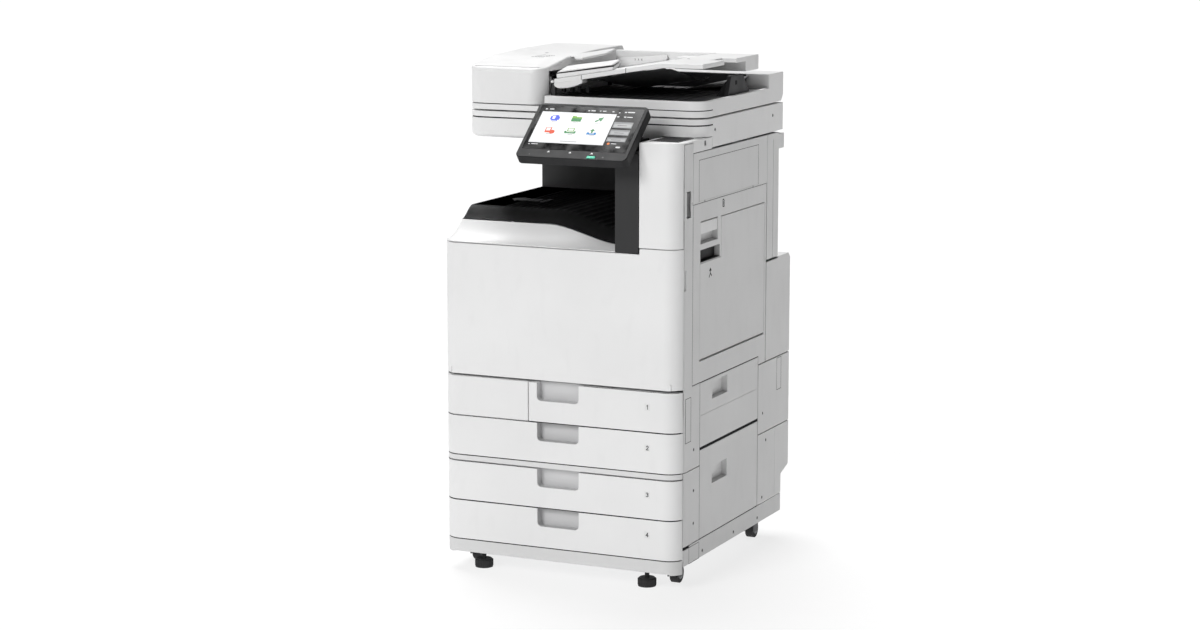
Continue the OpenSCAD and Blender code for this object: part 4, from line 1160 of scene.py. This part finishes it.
@dataclass
class Scanner:
    """The flatbed unit with its platen, carriage and scales."""

    def build(self) -> None:
        """Makes the base and dresses the optics."""

        def bottom(spot: Vector) -> bool:
            outside = spot.y < 126 or abs(spot.x) > 281 or (spot.y < 165 and abs(spot.x) > 241)
            return spot.z < 948 and outside and spot.x < 186

        # The groove round the base at 989.5 mm is painted dark: painted shade in the groove.
        shape = Shape.of_node("scanner_base").paint(GAP_SHADE, lambda spot: abs(spot.z - 989.5) < 1.3)
        shape.soften(11.0, 6, 30, bottom).soften(1.0)
        shape.piece("scanner_base_skin", WHITE, "body", "cover_white", ["scanner_base"])
        dress(PLATEN, "platen_glass")
        dress(CARRIAGE, "scan_carriage")
        ruler = Shape()
        for step in range(42):
            long = 6.0 if step % 5 == 0 else 3.0
            ruler.box((-210 + step * 10, 163 - long, 1002.9), (-209.5 + step * 10, 163, 1003.2))
        ruler.piece("platen_size_scale", INK, "body", "cover_white")
        optics = Shape().box((-201, 180, 988.4), (-190, 470, 989.6), 0.3)
        optics.piece("carriage_lamp_strip", LEVER, "scan_carriage", "carriage_black")
        rail = Shape().rod((-230, 325, 972), (222, 325, 972), 4, 0.5)
        rail.piece("carriage_rail", SHAFT, "body", "steel")


@dataclass
class Feeder:
    """The document feeder on the scanner's lid."""

    slope_x: float = -79.0
    slope_z: float = 1076.0
    slope_rise: float = 42.0
    slope_run: float = 247.0

    def top(self, x: float) -> float:
        """Gives the height of the document tray's top at a place along it."""
        return self.slope_z + min(1.0, (x - self.slope_x) / self.slope_run) * self.slope_rise

    def profile(self, points: Iterable[tuple[float, float]], y: float) -> list[Vector]:
        """Gives an outline in X and Z at one depth."""
        return [at(x, y, z) for x, z in points]

    def build(self) -> None:
        """Makes the lid and all that rides on it."""
        self.lid()
        self.cover()
        self.tray()
        self.guides()
        dress(ROLLER, "feed_roller")

    def lid(self) -> None:
        """Makes the lid's slab, its taller stopper and the dark liner of its bed."""

        def stopper(spot: Vector) -> Vector:
            if 237 < spot.x < 271 and 332 < spot.y < 425 and spot.z > 1042:
                return Vector((spot.x, spot.y, 1039.5))
            return spot

        def lug(spot: Vector) -> bool:
            return -93 < spot.x < -78 and 1041.5 < spot.z < 1078 and 140 < spot.y < 480

        lid = Shape.of_node("lid_base").move(stopper).paint(CARRIAGE, lug)
        # The groove at 1021 mm is painted dark: painted shade in the groove.
        lid.paint(GAP_SHADE, lambda spot: abs(spot.z - 1021) < 1.3).soften(1.2, 3)
        lid.piece("lid_base_skin", WHITE, "lid", "cover_white", ["lid_base"])
        pad = Shape.of_node("lid_pad").soften(0.8)
        pad.piece("lid_pad_foam", PAPER_PAD, "lid", "pad_white", ["lid_pad"])
        block = Shape().plate(
            [at(262, 287, 1038.2), at(262, 420, 1038.2), at(262, 378, 1083), at(262, 306, 1083)],
            Vector((9 * MM, 0, 0)),
            2.0,
            3,
        )
        brace = [at(238, 300, 1038.2), at(262, 300, 1038.2), at(262, 300, 1072)]
        block.plate(brace, Vector((0, 100 * MM, 0)), 1.5)
        block.piece("bed_stopper", TRAY_LIP, "lid", "tray_black")
        # A dark plate over the bed's rear wall under the document tray: painted shade.
        wall = Shape().box((-90, 504.0, 1038.4), (228, 505.7, 1070.5), 0.4)
        wall.piece("bed_rear_wall_shade", CARRIAGE, "lid", "tray_black")
        liner = Shape().box((-91.5, 137, 1038.0), (272, 504.5, 1038.8), 0.3)
        for step in range(11):
            x = -70 + step * 28
            liner.box((x, 150, 1038.5), (x + 3, 470, 1040.2), 0.6)
        liner.piece("bed_liner", CARRIAGE, "lid", "tray_black")
        ramp = Shape().plate(
            [at(118, 424, 1038.5), at(236, 424, 1038.5), at(236, 503, 1038.5), at(118, 503, 1038.5)],
            Vector((0, 0, 3 * MM)),
            0.5,
        )
        ramp.move(lambda s: Vector((s.x, s.y, s.z + (27 * ease(s.x, 110, 240) * ease(s.y, 380, 480)))))
        ramp.piece("bed_ramp", CARRIAGE, "lid", "tray_black")
        # The slot beside the stopper is a dark plate: painted shade inside it.
        slot = Shape().box((270.6, 331, 1062), (271.3, 342, 1071), 0.3)
        slot.piece("stopper_slot", GAP_SHADE, "lid", "tray_black")
        tabs = Shape()
        for x in (-70, -50, -32, -12):
            outline = [(x - 4, 1054), (x + 4, 1054), (x + 4, 1047)]
            outline += [(x + 1, 1045), (x - 1, 1047), (x - 4, 1049)]
            tabs.plate(self.profile(outline, 176), Vector((0, 8 * MM, 0)), 0.6)
            tabs.box((x - 3, 176, 1053), (x + 3, 182, 1060), 0.5)
        tabs.piece("paper_hold_down_tabs", TRAY, "document_tray", "tray_black")

    def cover(self) -> None:
        """Makes the feeder's cover with its marks and the tongue over the mouth."""
        cover = Shape.of_node("feeder_cover").soften(5.0, 5).soften(1.0)
        cover.piece("feeder_cover_skin", WHITE, "feeder_cover", "cover_white", ["feeder_cover"])
        outline = [(-96, 262), (-86, 262), (-58, 212), (-40, 212), (-50, 358), (-85, 488), (-96, 488)]
        tongue = Shape().plate([at(x, y, 1114.6) for x, y in outline], Vector((0, 0, 4.9 * MM)), 1.8, 3)
        tongue.piece("feeder_cover_tongue", WHITE, "feeder_cover", "cover_white")
        # A dark plate under the tongue: painted shade beneath it.
        under = [(-95, 268), (-84, 266), (-60, 230), (-52, 230), (-58, 352), (-87, 482), (-95, 482)]
        gap = Shape().plate([at(x, y, 1113.0) for x, y in under], Vector((0, 0, 2 * MM)), 0.4)
        gap.piece("feeder_tongue_underside", GAP_SHADE, "feeder_cover", "cover_white")
        marks = Shape()
        for x0, y0, x1, y1 in ((-126, 132, -96, 132.8), (-126, 132, -125.2, 204), (-150, 250, -143, 256)):
            marks.box((x0, y0, 1123.8), (x1, y1, 1124.25))
        for step in range(7):
            x, y = -121 + step * 2.6, 142 + step * 8
            marks.box((x, y, 1123.8), (x + 8, y + 1.2, 1124.25))
            x, y = -110 + step * 2, 138 + step * 8
            marks.box((x, y, 1123.8), (x + 1, y + 4, 1124.25))
        marks.piece("feeder_size_marks", PALE_INK, "feeder_cover", "cover_white")

    def tray(self) -> None:
        """Makes the document tray with its belly, dark underside and seams."""
        tray = Shape.of_node("document_tray").soften(1.4, 3)
        tray.piece("document_tray_skin", WHITE, "document_tray", "cover_white", ["document_tray"])
        belly = [(-81, 1066), (-79, 1061), (-74, 1057.5), (-66, 1056)]
        belly += [(-48, 1057.5), (-30, 1062), (-12, 1069.5)]
        belly += [(-12, self.top(-12) - 9.5), (-40, self.top(-40) - 9.5), (-79, self.top(-79) - 9.5)]
        shape = Shape().plate(self.profile(belly, 149.5), Vector((0, 26 * MM, 0)), 1.2, 3)
        shape.piece("document_tray_belly", WHITE, "document_tray", "cover_white")
        shape = Shape()
        grid = []
        for i in range(23):
            x = -8 + i * 8.0
            deep = min(40.0, self.top(x) - 12 - 1044)
            line = []
            for j in range(25):
                share = j / 24
                y = 158 + share * 300
                ridge = 1.6 if (j + round(3 * ease(x, 60, 170))) % 6 == 0 else 0.0
                z = self.top(x) - 11.5 - deep * ease(share, 0.0, 0.85) - ridge
                line.append(shape.bm.verts.new(at(x, y, z)))
            grid.append(line)
        for low, high in zip(grid, grid[1:]):
            for i in range(len(low) - 1):
                shape.bm.faces.new((low[i], high[i], high[i + 1], low[i + 1]))
        bmesh.ops.solidify(shape.bm, geom=shape.bm.faces[:], thickness=1.5 * MM)
        bmesh.ops.recalc_face_normals(shape.bm, faces=shape.bm.faces)
        shape.piece("document_tray_underside", UNDERSIDE, "document_tray", "tray_black", sharp=40)
        # Two dark strips in the tray's front seams: painted shade in the joints.
        seams = Shape()
        seams.box((-14.6, 148.75, self.top(-14) - 10), (-13.4, 149.6, self.top(-14) + 0.1))
        seams.box((90.4, 148.75, self.top(91) - 10), (91.6, 149.6, self.top(91) + 0.1))
        seams.piece("document_tray_seams", INK, "document_tray", "cover_white")
        arrow = Shape()
        stroke_mark(arrow, "arrow", at(176, 281, 1119), Axis.X.value, Axis.Y.value, 12, 1.4)
        arrow.piece("document_tray_arrow", PALE_INK, "document_tray", "cover_white")

    def guides(self) -> None:
        """Makes the two paper guides, the near one a rounded hood."""
        low = [(x, self.top(x) + 0.5) for x in (-74, -40, 0, 30, 57)]
        high = [(61, self.top(57) + 3), (62, 1107), (60, 1111), (55, 1113.2)]
        high += [(x, self.top(x) + 17 - 3.5 * ease(x, -60, 60)) for x in (30, 0, -40, -66)]
        high += [(-72, 1091), (-75, 1087)]

        def swell(spot: Vector) -> Vector:
            if spot.y > 160 and spot.z > self.top(spot.x) + 7:
                return Vector((spot.x, spot.y + 22, spot.z + 7))
            return spot

        hood = Shape().plate(self.profile(low + high, 150.5), Vector((0, 17 * MM, 0))).move(swell)
        hood.soften(2.6, 4)
        hood.piece("guide_front_hood", WHITE, "guide_front", "cover_white", ["guide_front"])
        far = [(x, self.top(x) + 0.5) for x in (-62, 0, 57)]
        far += [(60, 1104), (60, 1109), (57, 1111.4), (0, 1106.5), (-56, 1102), (-62, 1099)]
        wall = Shape().plate(self.profile(far, 447), Vector((0, 4.5 * MM, 0)), 1.2, 3)
        wall.box((-50, 447.5, self.top(-50) + 0.6), (40, 470, self.top(-50) + 2.4), 0.5)
        wall.piece("guide_rear_wall", WHITE, "guide_rear", "cover_white", ["guide_rear"])
        marks = Shape()
        for x in (-20, -12, -4):
            stroke_mark(marks, "chevron", at(x, 447, 1097.5), Axis.X.value, Axis.Z.value, 4.4, 2.2)
        marks.piece("guide_rear_marks", INK, "guide_rear", "cover_white")


@dataclass
class ControlPanel:
    """The tilting touch panel: case, glass, menu, marks and key."""

    foot: tuple[float, float] = (-70.0, 931.0)
    tilt: float = 38.8

    def face(self, x: float, up: float, out: float = 0.0) -> Vector:
        """Gives a place on the panel's face.

        Args:
            x: Millimetres to the right of the machine's middle.
            up: Millimetres up the face from its lower edge.
            out: Millimetres out of the face.

        Returns:
            The place in metres.
        """
        turn = math.radians(self.tilt)
        y = self.foot[0] + up * math.cos(turn) - out * math.sin(turn)
        return at(x, y, self.foot[1] + up * math.sin(turn) + out * math.cos(turn))

    def label(
        self, shape: Shape, points: Sequence[tuple[float, float]], level: float, thick: float = 0.12
    ) -> None:
        """Adds a thin flat figure on the face, lying at a level above it."""
        out = (self.face(0, 0, 1) - self.face(0, 0)) * thick
        shape.plate([self.face(x, up, level) for x, up in points], out)

    def patch(self, shape: Shape, x0: float, up0: float, x1: float, up1: float, level: float) -> None:
        """Adds a thin rectangle on the face."""
        self.label(shape, [(x0, up0), (x1, up0), (x1, up1), (x0, up1)], level)

    def disc(self, shape: Shape, x: float, up: float, radius: float, level: float) -> None:
        """Adds a thin disc on the face."""
        steps = [i * math.tau / 20 for i in range(20)]
        self.label(shape, [(x + radius * math.cos(a), up + radius * math.sin(a)) for a in steps], level)

    def show(self, shape: Shape, name: str, finish: Finish) -> None:
        """Makes one colour of the menu a piece."""
        shape.piece(name, finish, "control_panel", "screen_glass")

    def build(self) -> None:
        """Makes the panel."""
        case = Shape.of_node("panel_case").soften(1.8, 4)
        case.piece("panel_case_skin", BEZEL, "control_panel", "panel_black", ["panel_case"])
        arm = Shape.of_node("panel_arm").soften(0.6)
        arm.piece("panel_arm_skin", BEZEL, "body", "panel_black", ["panel_arm"])
        dress(SCREEN, "panel_screen")
        dress(KEY, "panel_key")
        self.menu()
        self.icons()
        self.side_tiles()
        self.small_marks()
        self.chin()

    def menu(self) -> None:
        """Lays the pale menu and its six tiles."""
        ground = Shape()
        self.patch(ground, -52, 44, 121, 137, 0.05)
        self.show(ground, "menu_ground", Display("menu ground", (0.86, 0.87, 0.88), 0.95))
        tiles = Shape()
        for column in range(3):
            for up in (66.5, 102.5):
                x = -38 + column * 51 + (1.5 if up > 100 else 0)
                self.patch(tiles, x, up, x + 47, up + 31.5, 0.18)
        self.patch(tiles, 21, 49, 57, 51, 0.18)
        self.show(tiles, "menu_tiles", Display("menu tile", (0.97, 0.975, 0.98), 0.95))
        bar = Shape()
        self.patch(bar, 20, 49.4, 58, 50.8, 0.3)
        for column in range(3):
            for up in (70.0, 106.0):
                x = -14.5 + column * 50.5
                self.patch(bar, x - 6, up, x + 6, up + 1.3, 0.3)
        self.show(bar, "menu_captions", Display("menu caption", (0.42, 0.43, 0.45), 0.7))

    def icons(self) -> None:
        """Draws the six generic pictures of the menu."""
        blue, green, red = Shape(), Shape(), Shape()
        leaf, white, teal = Shape(), Shape(), Shape()
        # Copy: two sheets
        self.patch(blue, -24, 110, -9, 127, 0.3)
        self.patch(white, -22.5, 115, -16, 125, 0.44)
        self.patch(blue, -27, 113.5, -24, 124, 0.3)
        self.patch(blue, -9, 113, -5.5, 123, 0.3)
        # Filing: a folder
        self.label(leaf, [(23, 110), (46, 110), (46, 124), (34, 124), (31.5, 126.5), (23, 126.5)], 0.3)
        self.patch(green, 23, 110, 46, 119.5, 0.44)
        # Sending: an arrow over a sheet
        plane = [(77, 114), (81, 111), (88, 117), (92, 113), (96, 127), (83, 122.5), (86, 119.5)]
        self.label(green, plane, 0.3)
        # Scanning: a red sheet with a round badge
        self.patch(red, -26, 74, -12, 90, 0.3)
        self.disc(red, -8.5, 76.5, 6, 0.44)
        self.patch(white, -24, 80, -14.5, 88.5, 0.44)
        # Output: a sheet in a green tray
        basket = [(21, 74), (45, 74), (47, 81), (42, 81), (41, 78), (25, 78), (24, 81), (19, 81)]
        self.label(green, basket, 0.3)
        self.patch(leaf, 25, 80, 41, 90, 0.3)
        self.patch(white, 27, 82, 39, 88.5, 0.44)
        # Receiving: an arrow over a blue tray
        dish = [(72, 73), (94, 73), (94, 80), (89, 80), (88, 77), (78, 77), (77, 80), (72, 80)]
        self.label(teal, dish, 0.3)
        self.label(green, [(81, 78), (85, 78), (85, 84), (89, 84), (83, 91), (77, 84), (81, 84)], 0.44)
        self.show(blue, "icon_blue", Display("blue icon", (0.05, 0.10, 0.80), 0.9))
        self.show(green, "icon_green", Display("green icon", (0.02, 0.24, 0.06), 0.9))
        self.show(leaf, "icon_leaf", Display("leaf green icon", (0.16, 0.42, 0.02), 0.9))
        self.show(red, "icon_red", Display("red icon", (0.80, 0.09, 0.03), 0.9))
        self.show(teal, "icon_teal", Display("teal icon", (0.02, 0.22, 0.55), 0.9))
        self.show(white, "icon_white", Display("white icon", (0.95, 0.95, 0.97), 0.9))

    def side_tiles(self) -> None:
        """Lays the grey tiles and the lamp right of the menu."""
        tiles = Shape()
        for low, high in ((97, 114.5), (75.5, 91.5), (56, 68.5)):
            self.patch(tiles, 123.5, low, 168, high, 0.05)
        self.show(tiles, "side_tiles", Display("side tile", (0.26, 0.265, 0.275), 0.8))
        faces = Shape()
        for low, high in ((99, 109), (77.5, 86.5), (57.5, 64.5)):
            self.patch(faces, 126, low, 166, high, 0.18)
        self.show(faces, "side_tile_faces", Display("side tile face", (0.44, 0.445, 0.455), 0.8))
        lines = Shape()
        for low in (103.5, 81.5, 60.5):
            self.patch(lines, 134, low, 156, low + 1.2, 0.3)
        self.show(lines, "side_tile_captions", Display("side caption", (0.12, 0.12, 0.13), 0.6))
        orange = Shape()
        self.disc(orange, 131.7, 49.5, 3.2, 0.05)
        self.show(orange, "status_dot", Display("orange dot", (0.85, 0.22, 0.04), 0.9))

    def small_marks(self) -> None:
        """Draws the small white marks in the dark borders of the menu."""
        marks = Shape()
        for x0, x1, up in ((-48, -43, 143), (-38, -28, 143.4), (52, 56, 143), (59, 69, 143.4)):
            self.patch(marks, x0, up, x1, up + 3, 0.05)
        for x0, x1, up in ((79, 82, 143.6), (86, 94, 143.6), (108, 113, 143), (124, 127, 141)):
            self.patch(marks, x0, up, x1, up + 2.6, 0.05)
        for x0, x1, up in ((137, 142, 142.5), (144, 160, 143), (124, 129, 128.5), (140, 145, 128.5)):
            self.patch(marks, x0, up, x1, up + 3, 0.05)
        for x0, x1, up in ((147, 160, 129), (-50, -46, 37.5), (-43, -28, 38), (138, 150, 48.8)):
            self.patch(marks, x0, up, x1, up + 2, 0.05)
        self.disc(marks, 154, 40, 2.3, 0.05)
        self.disc(marks, 160, 40, 2.3, 0.05)
        self.patch(marks, 154, 37.7, 160, 42.3, 0.05)
        self.show(marks, "status_marks", Display("white mark", (0.80, 0.81, 0.82), 0.8))

    def chin(self) -> None:
        """Adds the printed marks and the small lamp below the glass."""
        marks = Shape()
        for x in (5, 55, 105):
            self.label(marks, [(x - 3, 16.2), (x + 3, 16.2), (x + 3, 17.2), (x - 3, 17.2)], -0.05, 0.3)
            self.label(marks, [(x - 1.6, 17.6), (x + 2.2, 17.6), (x + 1.6, 20), (x - 1, 20)], -0.05, 0.3)
        marks.piece("panel_chin_marks", LEVER, "control_panel", "panel_black")
        dot = Shape()
        self.disc(dot, 133.7, 8.5, 2.2, 0.02)
        self.disc(dot, -36, 8.5, 1.2, 0.02)
        dot.piece("panel_chin_lamp", RIM, "control_panel", "panel_black")


@dataclass
class Engine:
    """The parts behind the doors."""

    def build(self) -> None:
        """Dresses the CAD parts and adds the details on them."""
        dress(STEEL, "main_frame", "lower_frame")
        dress(BOTTLE, "toner_bottle")
        dress(DRUM, "drum")
        dress(FUSER, "fuser_roller")
        dress(SILICONE, "pressure_roller")
        dress(UNIT, "laser_unit")
        dress(SWITCH, "power_switch", "power_inlet")
        dress(BOARD, "circuit_boards")
        dress(SCREW_STEEL, "cover_screws")
        self.drum_flanges()
        self.laser_details()
        self.switch_mark()

    def drum_flanges(self) -> None:
        """Adds the drum's end gear and the bottle's label ring."""
        gear = Shape()
        for i in range(36):
            angle = i * math.tau / 36
            x, z = 190 + 31.2 * math.cos(angle), 560 + 31.2 * math.sin(angle)
            gear.rod((x, 433, z), (x, 441, z), 1.4, 0, 8)
        gear.turned(((5.2, 0), (31.2, 0), (31.2, 8), (5.2, 8), (5.2, 0)), (190, 433, 560), Axis.Y)
        gear.piece("drum_gear", CARRIAGE, "drum", "drum_green")
        band = Shape().turned(
            ((45.0, 0), (46.6, 0.6), (46.6, 9.4), (45.0, 10), (45.0, 0)), (-170, 250, 650), Axis.Y
        )
        band.piece("toner_bottle_band", SWITCH, "toner_bottle", "bottle_grey")

    def laser_details(self) -> None:
        """Adds ribs and screws to the lid of the laser unit."""
        ribs = Shape().box((-241, 99, 519.5), (101, 431, 521.5), 0.6)
        for step in range(9):
            ribs.box((-224 + step * 38, 120, 521), (-221 + step * 38, 410, 525), 0.6)
        ribs.piece("laser_unit_lid", UNIT, "body", "unit_grey")
        screws = Shape()
        for x in (-234, 94):
            for y in (106, 424):
                head = ((0, 2.2), (2.6, 2.0), (3.2, 1.0), (3.2, 0), (0, 0))
                screws.turned(head, (x, y, 521.3), Axis.Z, 24)
        screws.piece("laser_unit_screws", SCREW_STEEL, "body", "screw_metal")

    def switch_mark(self) -> None:
        """Prints the round mark beside the power switch."""
        ring = Shape()
        section = ((2.2, 0), (3.0, 0), (3.0, 0.35), (2.2, 0.35), (2.2, 0))
        ring.turned(section, (HALF_W - 0.1, 66, 832), Axis.X, 32)
        ring.piece("power_mark", PALE_INK, "body", "cover_white")


@dataclass
class RunningGear:
    """Casters and levelling feet."""

    feet: tuple[tuple[float, float], ...] = ((-202.0, 40.0), (192.0, 40.0))

    def build(self) -> None:
        """Dresses the CAD parts, adds knurls to the feet and caps to the wheels."""
        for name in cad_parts:
            if "wheel" in name:
                dress(TYRE, name)
                self.cap(name)
            elif "fork" in name:
                dress(FORK, name)
        dress(FOOT, "levelling_feet")
        knurls = Shape()
        for x, y in self.feet:
            for i in range(30):
                angle = i * math.tau / 30
                px, py = x + 19.3 * math.cos(angle), y + 19.3 * math.sin(angle)
                knurls.rod((px, py, 2.5), (px, py, 16.5), 1.1, 0.4, 10)
        knurls.piece("levelling_feet_knurls", FOOT, "body", "foot_black")

    def cap(self, wheel: str) -> None:
        """Adds a grey hub to both sides of one wheel."""
        low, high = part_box(wheel)
        middle = (low + high) / 2
        x, y, z = middle.x / MM, (middle.y - DOOR_Y) / MM, middle.z / MM
        half = (high.x - low.x) / MM / 2
        hub = Shape()
        for side in (-1, 1):
            foot = (x + side * (half - 0.6) - (0.9 if side < 0 else 0), y, z)
            hub.turned(((0, 0), (11, 0), (11.5, 0.5), (10.5, 1.4), (6, 1.5), (0, 1.5)), foot, Axis.X, 32)
        hub.piece(f"{wheel}_hub", CASSETTE, wheel, "rubber_black")


@dataclass
class RearDetails:
    """What the back shows: the inlet's pins and the board's parts."""

    def build(self) -> None:
        """Makes them."""
        pins = Shape()
        for x, z in ((-207, 299), (-193, 299), (-200, 305)):
            pins.box((x - 1.2, 637, z - 2.5), (x + 1.2, 650, z + 2.5), 0.4)
        pins.piece("inlet_pins", COPPER, "body", "inlet_black")
        low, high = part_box("circuit_boards")
        chips = Shape()
        back = (high.y - DOOR_Y) / MM
        LOG.info("boards reach back to %.0f mm", back)
        for i in range(6):
            x = (low.x / MM) + 30 + i * 40
            z = (low.z / MM) + 40 + (i % 3) * 55
            chips.box((x, back - 0.2, z), (x + 18, back + 2.6, z + 18), 0.4)
        chips.piece("board_chips", CHIP, "body", "board_green")


class Lamp(Enum):
    """The studio lamps: where each stands, its power and its breadth in degrees."""

    FRONT = ((-0.22, -0.83, 0.51), 1.62, 26.0)
    TOP = ((-0.30, 0.40, 0.87), 3.3, 36.0)


@dataclass
class Studio:
    """Floor, light and camera."""

    eye: Point = (2539.3, -5335.5, 1585.0)
    yaw: float = 24.582
    pitch: float = 9.606
    lens: float = 83.97
    sky_power: float = 0.12

    def build(self) -> None:
        """Sets the scene."""
        self.floor()
        for lamp in Lamp:
            self.hang(lamp)
        self.camera()
        world = bpy.data.worlds.new("studio")
        world.use_nodes = True
        sky = world.node_tree.nodes["Background"]
        sky.inputs["Color"].default_value = (1, 1, 1, 1)
        sky.inputs["Strength"].default_value = self.sky_power
        bpy.context.scene.world = world
        bpy.context.scene.view_settings.view_transform = "Standard"

    def floor(self) -> None:
        """Lays a plain pale floor."""
        bm = bmesh.new()
        bmesh.ops.create_grid(bm, x_segments=2, y_segments=2, size=40)
        mesh = bpy.data.meshes.new("studio_floor")
        bm.to_mesh(mesh)
        bm.free()
        mesh.materials.append(material(LightTable()))
        made = bpy.data.objects.new("studio_floor", mesh)
        bpy.context.scene.collection.objects.link(made)

    def hang(self, lamp: Lamp) -> None:
        """Hangs one broad lamp."""
        toward, power, spread = lamp.value
        data = bpy.data.lights.new(f"lamp_{lamp.name.lower()}", "SUN")
        data.energy = power
        data.angle = math.radians(spread)
        made = bpy.data.objects.new(data.name, data)
        made.rotation_euler = (-Vector(toward)).to_track_quat("-Z", "Y").to_euler()
        bpy.context.scene.collection.objects.link(made)

    def camera(self) -> None:
        """Stands the camera at the right of the front, a little above the machine."""
        data = bpy.data.cameras.new("studio_camera")
        data.lens = self.lens
        data.sensor_width = 36
        data.clip_end = 100
        made = bpy.data.objects.new("studio_camera", data)
        made.location = at(*self.eye)
        made.rotation_euler = (math.radians(90 - self.pitch), 0, math.radians(self.yaw))
        bpy.context.scene.collection.objects.link(made)
        bpy.context.scene.camera = made


def main() -> None:
    """Builds every sub-assembly in order."""
    logging.basicConfig(level=logging.INFO, format="%(name)s: %(message)s")
    for assembly in (
        Covers(),
        FrontDoor(),
        Drawers(),
        RightSide(),
        OutputTray(),
        Scanner(),
        Feeder(),
        ControlPanel(),
        Engine(),
        RunningGear(),
        RearDetails(),
        Studio(),
    ):
        assembly.build()
        LOG.info("%s done", type(assembly).__name__)


if __name__ == "__main__":
    main()
